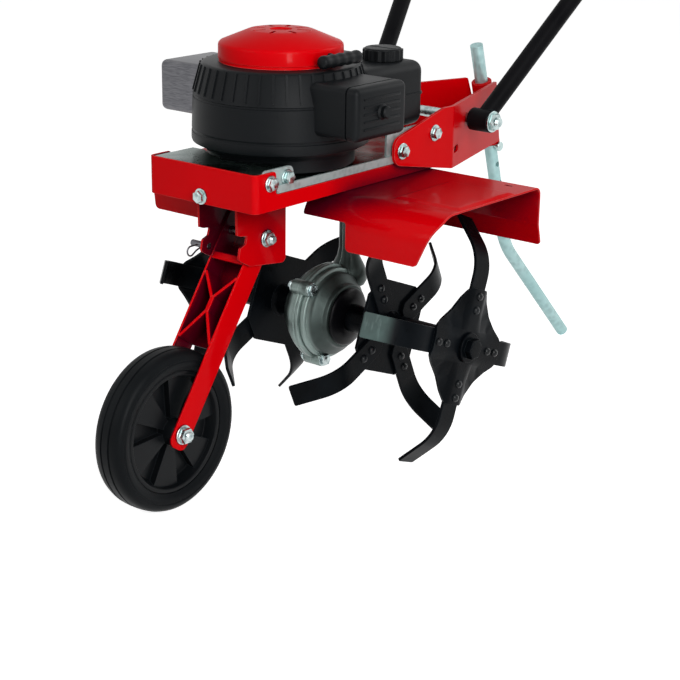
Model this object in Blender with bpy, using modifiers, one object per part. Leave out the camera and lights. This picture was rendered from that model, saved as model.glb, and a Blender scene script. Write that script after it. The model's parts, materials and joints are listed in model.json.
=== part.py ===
"""Walk-behind tiller: worm gearbox, four sets of bent tines, folding wheel and drag bar.

Millimetres are used throughout and turned into metres by MM. The working frame has its
origin on the tine shaft at the middle of the machine, with the front towards -Y. The
machine itself stands on Z = 0 under an empty that carries the whole assembly.
"""

import math

import bmesh
import bpy
from mathutils import Euler, Matrix, Vector

MM = 0.001
OBJECT_NAME = "tiller"

# Fits
CLEARANCE = 0.3
CUT_PAST = 9.0
ROUND_STEPS = 18
SMALL_STEPS = 12
HEX_STEPS = 6
BORE_STEPS = 16
HOUSING_STEPS = 24

# Front wheel and its fork
WHEEL_RADIUS = 100.0
TYRE_WIDTH = 44.0
TYRE_DEPTH = 24.0
TYRE_CROWN = 5.0
TYRE_SHOULDER = 9.0
WHEEL_STEPS = 24
RIM_WIDTH = 36.0
RIM_WALL = 6.0
HUB_RADIUS = 17.0
WHEEL_SPOKES = 6
SPOKE_WIDTH = 12.0
SPOKE_RIM_WIDTH = 38.0
SPOKE_LEAD = 12.0
SPOKE_DEPTH = 24.0
SPOKE_WEB = 6.0
AXLE_RADIUS = 6.0
AXLE_AHEAD = 298.0
AXLE_BELOW = 78.0
PIVOT_AHEAD = 152.0
PIVOT_ABOVE = 134.0
PIVOT_BOLT_RADIUS = 5.0
FORK_ARM_WIDTH = 31.0
FORK_SHEET = 3.0
FORK_INNER_WIDTH = 51.0
FORK_RIB_DEPTH = 8.0
FORK_RIB_THICKNESS = 4.0
FORK_TYRE_ROOM = 9.0
FORK_TIE_AT = 40.0
FORK_CROSS_TOP = 58.0

# Chassis tray
FRAME_HALF_WIDTH = 86.0
FRAME_FRONT = -232.0
FRAME_REAR = 118.0
FRAME_UNDERSIDE = 186.0
FRAME_SHEET = 3.0
SKIRT_TOP = 232.0
SKIRT_RETURN = 36.0
RAIL_TOP = 210.5
DECK_RIM = 28.0
DECK_CORNER = 14.0
FRONT_PAN_REAR = -124.0
REAR_PAN_FRONT = -6.0
SKIRT_BOLT_ABOVE = 9.0

# Engine plate
PLATE_THICKNESS = 4.0
LUG_SHEET = 3.0
LUG_CORNER = 8.0
CRANK_ROOM = 5.0
FRONT_LUG = (-216.0, -162.0, 234.0)
REAR_LUG = (16.0, 126.0, 246.0)
LUG_BOLTS_FRONT = ((-206.0, 219.0), (-173.5, 221.0))
LUG_BOLTS_REAR = ((38.0, 219.5), (106.0, 233.0))

# Fasteners
BOLT_HEAD_RADIUS = 7.5
BOLT_HEAD_HEIGHT = 5.3
WASHER_RADIUS = 9.0
WASHER_REACH = 2.0
WASHER_HEIGHT = 1.6
PIVOT_NUT_RADIUS = 8.5
AXLE_NUT_RADIUS = 10.0

# Tine guards
GUARD_SHEET = 2.5
GUARD_INNER = 48.0
GUARD_TAB_INNER = 115.0
GUARD_OUTER = 248.0
GUARD_TOE_OUTER = 220.0
GUARD_FRONT = -104.0
GUARD_REAR = 116.0
GUARD_TOE_HEIGHT = 123.0
GUARD_TAB_HEIGHT = 158.0
GUARD_HEEL_HEIGHT = 112.0
GUARD_FRONT_RADIUS = 35.0
GUARD_REAR_RADIUS = 9.0
GUARD_HEEL_FLARE = 14.0
GUARD_HEEL_LIP = 26.0
GUARD_EAR_DROP = 24.0
GUARD_EAR_RADIUS = 20.0
GUARD_TOE_CORNER = 6.0
GUARD_CORNER = 4.0
GUARD_RIGHT_TRIM = 15.0
GUARD_PANEL_DEPTH = 4.0
GUARD_PANEL_SLOPE = 6.0
GUARD_PANEL_INNER = 148.0
GUARD_PANEL_FRONT = -58.0
GUARD_PANEL_REAR = 62.0

# Wheel bracket
BRACKET_SHEET = 3.0
BRACKET_FRONT = -205.0
BRACKET_REAR = -117.0
BRACKET_LOW_FRONT = 105.0
BRACKET_LOW_REAR = 97.0
BRACKET_NOTCH = (128.0, 146.0)
BRACKET_NOTCH_DEPTH = 14.0
LOCK_PIN_RADIUS = 4.0
LOCK_PIN_AHEAD = 188.0
LOCK_PIN_ABOVE = 120.0
LOCK_PIN_LENGTH = 44.0
CLIP_WIRE = 1.1
CLIP_EYE = 6.0
CLIP_LENGTH = 30.0
CLIP_STAND_OFF = 14.0

# Worm gearbox
SHAFT_RADIUS = 12.5
WORM_OFFSET = 46.0
WORM_RADIUS = 13.0
WORM_ROOT = 9.0
WORM_STARTS = 2
WORM_LEAD = 12.6
WORM_LENGTH = 46.0
WORM_SHAFT_RADIUS = 8.0
WHEEL_TEETH = 32
WHEEL_TOOTH_DEPTH = 4.0
WORM_WHEEL_WIDTH = 20.0
CASE_FLANGE_RADIUS = 64.0
CASE_RIM_RADIUS = 60.0
CASE_RADIUS = 55.0
CASE_WALL = 5.0
CASE_HALF_WIDTH = 36.0
CASE_STEP = 8.0
CASE_RIM_WIDTH = 13.0
CASE_FLANGE_WIDTH = 5.0
CASE_GROOVE = 2.0
CASE_BOSS_RADIUS = 42.0
BEARING_RADIUS = 26.0
BEARING_WIDTH = 12.0
NECK_RADIUS = 25.0
NECK_BORE = 18.0
NECK_FLANGE = 76.0
NECK_FLANGE_HEIGHT = 8.0
CASE_LUG_RADIUS = 10.0
CASE_LUG_CIRCLE = 62.0
CASE_LUG_ANGLES = (121.0, 251.0, 306.0, 17.0)
SEAL_CAP_RADIUS = 38.0
SEAL_CAP_DEPTH = 10.0

# Tine rotor
HUB_TUBE_RADIUS = 18.0
PLATE_STATION_INNER = 105.0
PLATE_STATION_OUTER = 225.0
RIGHT_SET_IN = 28.0
TINE_PLATE_SHEET = 4.0
TINE_PLATE_REACH = 73.0
TINE_PLATE_ARM_WIDTH = 34.0
TINE_PLATE_WAIST = 59.0
SQUARE_PLATE_REACH = 66.0
BLADE_WIDTH = 31.0
BLADE_SHEET = 4.0
BLADE_ROOT = 25.0
BLADE_BEND_START = 88.0
BLADE_BEND_RADIUS = 60.0
BLADE_BEND_ANGLE = 45.0
BLADE_TIP_LENGTH = 37.5
BLADE_CORNER = 8.0
BLADE_TIP_CORNER = 1.5
OUTER_SET_ANGLE = 69.5
INNER_SET_ANGLE = 24.0
HUB_BOLT_RADIUS = 13.5
HUB_BOLT_HEIGHT = 9.0
HUB_WASHER_RADIUS = 19.0
HUB_WASHER_HEIGHT = 4.0

# Belt drive
BELT_PLANE = 198.0
PULLEY_HALF_WIDTH = 7.5
WORM_PULLEY_RADIUS = 52.0
CRANK_PULLEY_RADIUS = 31.0
BELT_TOP_WIDTH = 11.0
BELT_BOTTOM_WIDTH = 7.5
BELT_DEPTH = 7.0
BELT_PROUD = 1.0

# Engine
CRANK_AHEAD = 90.0
CRANK_RADIUS = 11.0
ENGINE_SKIRT_RADIUS = 91.0
ENGINE_SKIRT_BOTTOM = 218.0
ENGINE_SKIRT_TOP = 234.0
ENGINE_FLARE_RADIUS = 109.0
ENGINE_FLARE_TOP = 243.0
ENGINE_SHOULDER = 300.0
ENGINE_TOP = 338.0
ENGINE_TOP_RADIUS = 97.0
ENGINE_SHOULDER_RADIUS = 107.0
ENGINE_MOUTH_RADIUS = 66.0
ENGINE_SHELL = 3.0
CRANKCASE_RADIUS = 58.0
CRANKCASE_TOP = 296.0
CRANKCASE_TAPER = 8.0
CRANKCASE_LIFT = 1.0
SPIGOT_HEIGHT = 6.0
PAD_HALF_WIDTH = 53.0
PAD_FRONT = -113.0
PAD_REAR = -27.0
FLYWHEEL_RADIUS = 84.0
FLYWHEEL_HEIGHT = 16.0
RECOIL_RADIUS = 76.0
RECOIL_HEIGHT = 38.0
RECOIL_BROW = 22.0
RECOIL_VENTS = 8
RECOIL_VENT_INNER = 20.0
RECOIL_VENT_LENGTH = 18.0
RECOIL_VENT_WIDTH = 5.0
GRIP_STEM = 16.0
GRIP_STEM_RADIUS = 5.0
GRIP_BAR_LENGTH = 70.0
GRIP_BAR_RADIUS = 8.0
TANK_HALF_WIDTH = 78.0
TANK_REAR = 100.0
TANK_BOTTOM = 244.0
TANK_TOP = 326.0
TANK_EDGE = 14.0
TANK_NECK_RADIUS = 17.0
TANK_NECK_HEIGHT = 9.0
TANK_NECK_ACROSS = 38.0
TANK_NECK_ALONG = 62.0
CAP_RADIUS = 26.0
CAP_ROOF = 7.0
SIDE_BOX_FRONT = -140.0
SIDE_BOX_REAR = -44.0
SIDE_BOX_BOTTOM = 265.0
SIDE_BOX_TOP = 328.0
SIDE_BOX_REACH = 158.0
SIDE_COVER = 16.0
SIDE_BOX_EDGE = 8.0
SEAM_WIDTH = 2.5
SEAM_DEPTH = 2.0
MUFFLER_LOUVRES = 4
LOUVRE_HEIGHT = 5.0
LOUVRE_DEPTH = 4.0

# Handle bracket, handlebar and drag bar
HANDLE_SHEET = 4.0
HANDLE_PLATE_GAP = 0.6
HANDLE_BEND_AT = 145.0
HANDLE_BEND_RADIUS = 12.0
HANDLE_NOSE_RADIUS = 16.0
HANDLE_LOW = 180.0
HANDLE_LOW_REAR = 173.0
HANDLE_TOP = 262.0
HANDLE_CROWN_AHEAD = 20.0
HANDLE_CROWN_RADIUS = 24.0
HANDLE_NOSE_EASE = 2.0
DRAG_RADIUS = 9.0
DRAG_TILT = 16.7
DRAG_POINT = (369.0, 161.0)
DRAG_TOP = 312.0
DRAG_KNEE = 8.0
DRAG_HEEL_TILT = 45.0
DRAG_KNEE_RADIUS = 70.0
DRAG_PIN_RADIUS = 3.7
DRAG_HOLE_PITCH = 30.0
DRAG_HOLES = 3
SOCKET_WALL = 5.0
SOCKET_LENGTH = 96.0
SOCKET_LOW_END = 168.0
HANDLE_PIVOT_ALONG = 205.0
HANDLE_PIVOT_ABOVE = 236.0
HANDLE_SLOT_RADIUS = 5.0
HANDLE_SLOT_ALONG = 162.0
HANDLE_SLOT_ABOVE = 203.0
HANDLE_ROD_RADIUS = 7.0
HANDLE_ROD_NUT = 12.0
HANDLE_EYE_RADIUS = 15.0
HANDLE_EYE_INNER = 80.0
HANDLE_EYE_WIDTH = 32.0
HANDLE_TUBE_RADIUS = 12.0
HANDLE_KNEE = (180.0, 490.0, 540.0)
HANDLE_END = (270.0, 905.0, 720.0)
HANDLE_REACH = 165.0
LEVER_AHEAD = 13.0
HANDLE_TURN_RADIUS = 90.0
GRIP_RADIUS = 17.0
GRIP_LENGTH = 120.0
GRIP_CAP = 4.0
GRIP_RIBS = 2
BRACE_SHARE = 0.72
BRACE_RADIUS = 9.0
LEVER_LENGTH = 130.0
LEVER_WIDTH = 14.0
LEVER_SHEET = 4.0
LEVER_DROP = 30.0
LEVER_STAND_OFF = 22.0

# Finishes: colour, roughness, metallic
RED_PAINT = ((0.60, 0.005, 0.008), 0.30, 0.0)
BLACK_PAINT = ((0.012, 0.014, 0.018), 0.40, 0.0)
BLACK_PLASTIC = ((0.015, 0.015, 0.016), 0.50, 0.0)
RUBBER = ((0.014, 0.014, 0.015), 0.75, 0.0)
ZINC = ((0.60, 0.63, 0.63), 0.32, 1.0)
GALVANISED = ((0.45, 0.58, 0.58), 0.42, 1.0)
ALUMINIUM = ((0.42, 0.45, 0.45), 0.45, 1.0)
STEEL = ((0.50, 0.50, 0.50), 0.35, 1.0)
BRONZE = ((0.55, 0.36, 0.14), 0.35, 1.0)

# Places worked out from the driving dimensions
SHAFT_HEIGHT = WHEEL_RADIUS + AXLE_BELOW
MIDDLE_ALONG = (HANDLE_END[1] - AXLE_AHEAD - WHEEL_RADIUS) / 2
DECK_TOP = RAIL_TOP + CLEARANCE + PLATE_THICKNESS
CRANK_AXIS = (0.0, -CRANK_AHEAD, 0.0)
WORM_AXIS = (0.0, WORM_OFFSET, 0.0)
AXLE = (0.0, -AXLE_AHEAD, -AXLE_BELOW)
PIVOT = (0.0, -PIVOT_AHEAD, PIVOT_ABOVE)
FORK_LENGTH = math.hypot(AXLE_AHEAD - PIVOT_AHEAD, AXLE_BELOW + PIVOT_ABOVE)
FORK_TILT = math.atan2(AXLE_AHEAD - PIVOT_AHEAD, AXLE_BELOW + PIVOT_ABOVE)
FORK_OUTER = FORK_INNER_WIDTH / 2 + FORK_SHEET
BRACKET_INNER = FORK_OUTER + 2 * CLEARANCE
BRACKET_OUTER = BRACKET_INNER + BRACKET_SHEET
GUARD_TOP = FRAME_UNDERSIDE - CLEARANCE
LUG_OUTER = FRAME_HALF_WIDTH - FRAME_SHEET - CLEARANCE
HANDLE_PLATE_INNER = FRAME_HALF_WIDTH + HANDLE_PLATE_GAP
SOCKET_RADIUS = DRAG_RADIUS + CLEARANCE + SOCKET_WALL
DRAG_TURN = math.radians(DRAG_TILT)
HALF_TURN = math.pi / 2
ALONG_X = Euler((0.0, HALF_TURN, 0.0))
ALONG_MINUS_X = Euler((0.0, -HALF_TURN, 0.0))
ALONG_MINUS_Y = Euler((HALF_TURN, 0.0, 0.0))
FACING_X = Euler((HALF_TURN, 0.0, HALF_TURN))
SIDES = (("left", 1), ("right", -1))


def drag_axis_point(height):
    """Return the (Y, Z) point of the drag bar's straight axis at a height."""
    return (DRAG_POINT[0] + (DRAG_POINT[1] - height) * math.tan(DRAG_TURN), height)


def empty_scene():
    """Remove every object and make the two collections."""
    for item in list(bpy.data.objects):
        bpy.data.objects.remove(item, do_unlink=True)
    made = []
    for name in (OBJECT_NAME, "cutters"):
        collection = bpy.data.collections.new(name)
        bpy.context.scene.collection.children.link(collection)
        made.append(collection)
    return made


def finish(name, look):
    """Make a Principled material from a (colour, roughness, metallic) look."""
    colour, roughness, metallic = look
    material = bpy.data.materials.new(name)
    material.use_nodes = True
    shader = material.node_tree.nodes["Principled BSDF"]
    shader.inputs["Base Color"].default_value = (*colour, 1.0)
    shader.inputs["Roughness"].default_value = roughness
    shader.inputs["Metallic"].default_value = metallic
    return material


def evaluated(item):
    """Turn an object with its modifiers, or a curve, into a welded mesh and remove it."""
    bpy.context.view_layer.update()
    graph = bpy.context.evaluated_depsgraph_get()
    mesh = bpy.data.meshes.new_from_object(item.evaluated_get(graph))
    bpy.data.objects.remove(item, do_unlink=True)
    work = bmesh.new()
    work.from_mesh(mesh)
    bmesh.ops.remove_doubles(work, verts=work.verts, dist=0.00001)
    work.to_mesh(mesh)
    work.free()
    return mesh


def scratch(data):
    """Put mesh or curve data in the scene so that it can be evaluated."""
    item = bpy.data.objects.new("scratch", data)
    bpy.context.scene.collection.objects.link(item)
    return item


def turned(profile, steps=ROUND_STEPS, ring=False):
    """Turn (radius, height) points, listed down the outer side, about Z."""
    mesh = bpy.data.meshes.new("turned")
    points = [(r * MM, 0.0, z * MM) for r, z in profile]
    edges = [(i, i + 1) for i in range(len(points) - 1)]
    if ring:
        edges.append((len(points) - 1, 0))
    mesh.from_pydata(points, edges, [])
    item = scratch(mesh)
    screw = item.modifiers.new("turn", "SCREW")
    screw.steps = steps
    screw.render_steps = steps
    screw.use_merge_vertices = True
    screw.merge_threshold = 0.00001
    return evaluated(item)


def drum(radius, low, high, steps=ROUND_STEPS):
    """A plain round bar along Z between two heights."""
    return turned([(0, high), (radius, high), (radius, low), (0, low)], steps)


def pipe(outer, inner, low, high, steps=ROUND_STEPS):
    """A plain round tube along Z between two heights."""
    return turned([(outer, high), (outer, low), (inner, low), (inner, high)], steps, ring=True)


def rounded(points, radius, steps=4):
    """Round the corners of an outline; each point may carry its own radius as a third value."""
    outline = []
    count = len(points)
    for i, point in enumerate(points):
        here = Vector(point[:2])
        reach = point[2] if len(point) > 2 else radius
        before = (Vector(points[i - 1][:2]) - here).normalized()
        after = (Vector(points[(i + 1) % count][:2]) - here).normalized()
        opening = before.angle(after)
        if reach <= 0 or opening > math.radians(178):
            outline.append(tuple(here))
            continue
        bisector = (before + after).normalized()
        middle = here + bisector * (reach / math.sin(opening / 2))
        setback = reach / math.tan(opening / 2)
        start = here + before * setback - middle
        end = here + after * setback - middle
        for k in range(steps + 1):
            turn = start.angle_signed(end) * k / steps
            swung = start.copy()
            swung.rotate(Matrix.Rotation(-turn, 2))
            outline.append(tuple(middle + swung))
    return outline


def circle(centre, radius, steps=SMALL_STEPS):
    """Points of a circle, for a hole or a round outline."""
    turns = [2 * math.pi * k / steps for k in range(steps)]
    return [(centre[0] + radius * math.cos(t), centre[1] + radius * math.sin(t)) for t in turns]


def sheet(outline, thickness, holes=()):
    """A flat plate in XY, centred on Z = 0, from an outline and its holes."""
    curve = bpy.data.curves.new("sheet", "CURVE")
    curve.dimensions = "2D"
    curve.fill_mode = "BOTH"
    curve.extrude = thickness * MM / 2
    for loop in (outline, *holes):
        spline = curve.splines.new("POLY")
        spline.points.add(len(loop) - 1)
        for point, (x, y) in zip(spline.points, loop):
            point.co = (x * MM, y * MM, 0.0, 1.0)
        spline.use_cyclic_u = True
    return evaluated(scratch(curve))


def rod(points, radius, sides=2, closed=False):
    """A round bar or wire along a run of points."""
    curve = bpy.data.curves.new("rod", "CURVE")
    curve.dimensions = "3D"
    curve.bevel_depth = radius * MM
    curve.bevel_resolution = sides
    curve.use_fill_caps = not closed
    spline = curve.splines.new("POLY")
    spline.points.add(len(points) - 1)
    for point, place in zip(spline.points, points):
        point.co = (*(Vector(place) * MM), 1.0)
    spline.use_cyclic_u = closed
    return evaluated(scratch(curve))


def eased(points, radius, steps=5):
    """Round the bends of an open run of 3-D points."""
    run = [Vector(points[0])]
    for before, here, after in zip(points, points[1:], points[2:]):
        here = Vector(here)
        back = (Vector(before) - here).normalized()
        ahead = (Vector(after) - here).normalized()
        opening = back.angle(ahead)
        middle = here + (back + ahead).normalized() * (radius / math.sin(opening / 2))
        start = here + back * (radius / math.tan(opening / 2)) - middle
        axis = start.cross(ahead)
        for k in range(steps + 1):
            turn = Matrix.Rotation((math.pi - opening) * k / steps, 3, axis)
            run.append(middle + turn @ start)
    run.append(Vector(points[-1]))
    return run


def block(low, high, edge=0.0, segments=2):
    """A box between two corners, with its edges rounded."""
    low, high = Vector(low), Vector(high)
    work = bmesh.new()
    bmesh.ops.create_cube(work, size=1.0)
    bmesh.ops.scale(work, vec=(high - low) * MM, verts=work.verts)
    bmesh.ops.translate(work, vec=(high + low) * MM / 2, verts=work.verts)
    if edge > 0:
        bmesh.ops.bevel(
            work, geom=work.edges[:], offset=edge * MM, segments=segments,
            profile=0.5, affect="EDGES", material=-1,
        )
    return to_mesh(work)


def to_mesh(work):
    """Store a bmesh as a mesh with its faces pointing out."""
    bmesh.ops.recalc_face_normals(work, faces=work.faces)
    mesh = bpy.data.meshes.new("solid")
    work.to_mesh(mesh)
    work.free()
    return mesh


def placed(mesh, at=(0, 0, 0), turn=None):
    """Turn and move a mesh, in millimetres, and hand it back."""
    place = Matrix.Translation(Vector(at) * MM)
    if turn is not None:
        place = place @ (turn.to_matrix().to_4x4() if isinstance(turn, Euler) else turn)
    mesh.transform(place)
    return mesh


def group(meshes):
    """Gather separate solids into one mesh."""
    work = bmesh.new()
    for mesh in meshes:
        work.from_mesh(mesh)
    mesh = bpy.data.meshes.new("group")
    work.to_mesh(mesh)
    work.free()
    return mesh


def folded(outline, stations, fold, thickness, press=None):
    """A sheet cut flat to an outline, then bent along its stations.

    The flat sheet lies in (across, along); fold maps along to a middle point and across
    stays put. Stations are the along values where a bend starts, steps and ends.
    """
    work = bmesh.new()
    corners = [work.verts.new((x, s, 0.0)) for x, s in outline]
    work.faces.new(corners)
    cuts = [((0, s, 0), (0, 1, 0)) for s in stations]
    if press is not None:
        cuts += press.cuts()
    for point, normal in cuts:
        bmesh.ops.bisect_plane(
            work, geom=work.verts[:] + work.edges[:] + work.faces[:], dist=1e-4,
            plane_co=point, plane_no=normal,
        )
    for vert in work.verts:
        across, along = vert.co.x, vert.co.y
        sunk = press.depth(across, along) if press is not None else 0.0
        vert.co = Vector(fold(across, along, sunk)) * MM
    bmesh.ops.remove_doubles(work, verts=work.verts, dist=1e-7)
    bmesh.ops.recalc_face_normals(work, faces=work.faces)
    mesh = bpy.data.meshes.new("folded")
    work.to_mesh(mesh)
    work.free()
    item = scratch(mesh)
    wall = item.modifiers.new("wall", "SOLIDIFY")
    wall.thickness = thickness * MM
    wall.offset = 0.0
    wall.use_even_offset = True
    return evaluated(item)


class Bends:
    """A profile of straights and round bends, read by the distance along it."""

    def __init__(self, start, heading):
        self.runs = []
        self.length = 0.0
        self.point = Vector(start)
        self.heading = heading

    def straight(self, length):
        """Add a straight run."""
        self.runs.append((self.length, length, self.point.copy(), self.heading, 0.0))
        self.point = self.point + length * Vector((math.cos(self.heading), math.sin(self.heading)))
        self.length += length
        return self

    def bend(self, radius, angle):
        """Add a round bend; a positive angle turns left."""
        length = radius * abs(angle)
        self.runs.append((self.length, length, self.point.copy(), self.heading, angle / length))
        self.point = self.at(self.length + length)[0]
        self.heading += angle
        self.length += length
        return self

    def at(self, along):
        """Return the point and heading at a distance along the profile."""
        chosen = self.runs[0]
        for run in self.runs:
            if along >= run[0] - 1e-9:
                chosen = run
        begin, _, point, heading, curl = chosen
        gone = along - begin
        if curl == 0.0:
            return point + gone * Vector((math.cos(heading), math.sin(heading))), heading
        after = heading + curl * gone
        step = Vector((math.sin(after) - math.sin(heading), math.cos(heading) - math.cos(after)))
        return point + step / curl, after

    def stations(self, steps):
        """Distances where flat cuts are needed so that each bend is stepped."""
        marks = []
        for begin, length, _, _, curl in self.runs:
            parts = steps if curl else 1
            marks += [begin + length * k / parts for k in range(parts)]
        return marks[1:]


class PressedPanel:
    """A sunk panel of a sheet, with sloping sides, between four lines."""

    def __init__(self, inner, outer, front, rear, depth, slope):
        self.lines = (inner, outer, front, rear)
        self.full = depth
        self.slope = slope

    def cuts(self):
        """Cut lines at the top and the foot of each sloping side."""
        inner, outer, front, rear = self.lines
        across = (inner, inner + self.slope, outer - self.slope, outer)
        along = (front, front + self.slope, rear - self.slope, rear)
        return [((x, 0, 0), (1, 0, 0)) for x in across] + [((0, s, 0), (0, 1, 0)) for s in along]

    def depth(self, across, along):
        """How far the sheet is sunk at a flat point."""
        inner, outer, front, rear = self.lines
        reach = min(across - inner, outer - across, along - front, rear - along)
        return self.full * max(0.0, min(1.0, reach / self.slope))


class Assembly:
    """The bodies, each an empty on its joint, and the pieces that ride on them."""

    def __init__(self):
        self.parts, self.cutters = empty_scene()
        self.root = bpy.data.objects.new(OBJECT_NAME + "_frame", None)
        self.root.location = Vector((0.0, -MIDDLE_ALONG, SHAFT_HEIGHT)) * MM
        self.parts.objects.link(self.root)
        self.bodies = {}

    def body(self, name, at=(0.0, 0.0, 0.0), turn=None, on=None):
        """Make the empty that carries a body, on its joint's axis."""
        empty = bpy.data.objects.new(name + "_joint", None)
        parent, base = (self.root, Vector((0, 0, 0))) if on is None else self.bodies[on]
        empty.parent = parent
        empty.location = (Vector(at) - base) * MM
        self.parts.objects.link(empty)
        self.bodies[name] = (empty, Vector(at))

    def add(self, name, mesh, body, look, at=(0, 0, 0), turn=None):
        """Place a finished mesh as a named piece of a body."""
        empty, base = self.bodies[body]
        place = placed(mesh, at, turn)
        place.transform(Matrix.Translation(-base * MM))
        place.name = name
        item = bpy.data.objects.new(name, place)
        item.parent = empty
        self.parts.objects.link(item)
        place.materials.clear()
        place.materials.append(finish(name, look))
        place.shade_smooth()
        place.set_sharp_from_angle(angle=math.radians(35))
        return item

    def shape(self, item, mesh, operation="DIFFERENCE", at=(0, 0, 0), turn=None):
        """Cut a piece with a mesh, or join a mesh to it."""
        name = f"{item.name}_{operation.lower()}_{len(item.modifiers)}"
        tool = bpy.data.objects.new(name, placed(mesh, at, turn))
        base = next(spot for empty, spot in self.bodies.values() if empty == item.parent)
        tool.data.transform(Matrix.Translation(-base * MM))
        tool.parent = item.parent
        tool.hide_render = True
        tool.display_type = "WIRE"
        self.cutters.objects.link(tool)
        change = item.modifiers.new(operation.lower(), "BOOLEAN")
        change.operation = operation
        change.object = tool
        return item

    def join(self, item, mesh, at=(0, 0, 0), turn=None):
        """Weld a mesh to a piece."""
        return self.shape(item, mesh, "UNION", at, turn)


def bolt_head(radius=BOLT_HEAD_RADIUS, height=BOLT_HEAD_HEIGHT, sunk=1.0):
    """A hexagon head on its washer along Z, seated at Z = 0 and rooted a little below it."""
    top = WASHER_HEIGHT + height
    flange = radius + WASHER_REACH
    return turned([
        (0, top), (radius, top), (radius, WASHER_HEIGHT), (flange, WASHER_HEIGHT), (flange, -sunk), (0, -sunk),
    ], HEX_STEPS)


def chassis(tiller):
    """The folded tray: deck rim, side rails, front skirt and the pans that carry the rest."""
    width, metal = FRAME_HALF_WIDTH, FRAME_SHEET
    hollow, rim = width - metal, width - DECK_RIM
    far = 2 * width
    pan_top = FRAME_UNDERSIDE + metal
    body = block((-width, FRAME_FRONT, FRAME_UNDERSIDE), (width, FRAME_REAR, SKIRT_TOP))
    item = tiller.add("chassis_frame", body, "chassis", RED_PAINT)
    step, inside = FRAME_FRONT + SKIRT_RETURN, FRAME_FRONT + metal
    tiller.shape(item, block((-far, step, RAIL_TOP), (far, far, SKIRT_TOP + far)))
    tiller.shape(item, block((-hollow, inside, RAIL_TOP), (hollow, far, SKIRT_TOP + far)))
    tiller.shape(item, block((-hollow, inside, pan_top), (hollow, far, RAIL_TOP - metal)))
    front, rear = FRONT_PAN_REAR - DECK_RIM, FRAME_REAR - DECK_RIM
    opening = rounded([(-rim, front), (rim, front), (rim, rear), (-rim, rear)], DECK_CORNER, 4)
    tiller.shape(item, sheet(opening, 4 * metal), at=(0, 0, RAIL_TOP))
    tiller.shape(item, block((-hollow, FRONT_PAN_REAR, FRAME_UNDERSIDE - metal), (hollow, REAR_PAN_FRONT, pan_top + metal)))
    tiller.shape(item, drum(NECK_BORE, -2 * metal, metal, BORE_STEPS), at=(0, WORM_OFFSET, pan_top))
    tiller.join(item, bolt_head(), (0, FRAME_FRONT, FRAME_UNDERSIDE + SKIRT_BOLT_ABOVE), ALONG_MINUS_Y)
    along, height = LUG_BOLTS_FRONT[0]
    for _, side in SIDES:
        tiller.join(item, bolt_head(), (side * width, along, height), outward(side))


def engine_plate(tiller):
    """The bright plate under the engine with its upturned lugs."""
    half = LUG_OUTER
    front, rear = FRAME_FRONT + FRAME_SHEET + CLEARANCE, REAR_LUG[1]
    outline = [(-half, front), (half, front), (half, rear), (-half, rear)]
    crank_hole = circle((0, -CRANK_AHEAD), CRANK_RADIUS + CRANK_ROOM, BORE_STEPS)
    plate = sheet(outline, PLATE_THICKNESS, [crank_hole])
    item = tiller.add("engine_plate", plate, "chassis", ZINC, (0, 0, DECK_TOP - PLATE_THICKNESS / 2))
    foot = DECK_TOP - PLATE_THICKNESS
    for _, side in SIDES:
        for begin, end, top in (FRONT_LUG, REAR_LUG):
            lug = rounded([(begin, foot, 0), (end, foot, 0), (end, top, LUG_CORNER), (begin, top, LUG_CORNER)], 0, 3)
            tiller.join(item, sheet(lug, LUG_SHEET), (side * (half - LUG_SHEET / 2), 0, 0), FACING_X)
        along, height = LUG_BOLTS_FRONT[1]
        tiller.join(item, bolt_head(), (side * half, along, height), outward(side))


def outward(side):
    """The turn that points Z out of the machine's left (+1) or right (-1) side."""
    return ALONG_X if side > 0 else ALONG_MINUS_X


def guard_profile():
    """The guard's side profile in (Y, Z), from the toe of its front flap to its heel."""
    middle = GUARD_SHEET / 2
    crown = GUARD_TOP - middle
    front, rear = GUARD_FRONT + middle, GUARD_REAR - middle
    flat = rear - front - GUARD_FRONT_RADIUS - GUARD_REAR_RADIUS
    heel = crown - GUARD_REAR_RADIUS - GUARD_HEEL_HEIGHT
    profile = Bends((front, GUARD_TOE_HEIGHT), HALF_TURN)
    profile.straight(crown - GUARD_FRONT_RADIUS - GUARD_TOE_HEIGHT).bend(GUARD_FRONT_RADIUS, -HALF_TURN)
    profile.straight(flat).bend(GUARD_REAR_RADIUS, -HALF_TURN)
    profile.straight(heel - GUARD_HEEL_LIP).bend(GUARD_REAR_RADIUS, math.radians(GUARD_HEEL_FLARE))
    return profile.straight(GUARD_HEEL_LIP)


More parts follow.
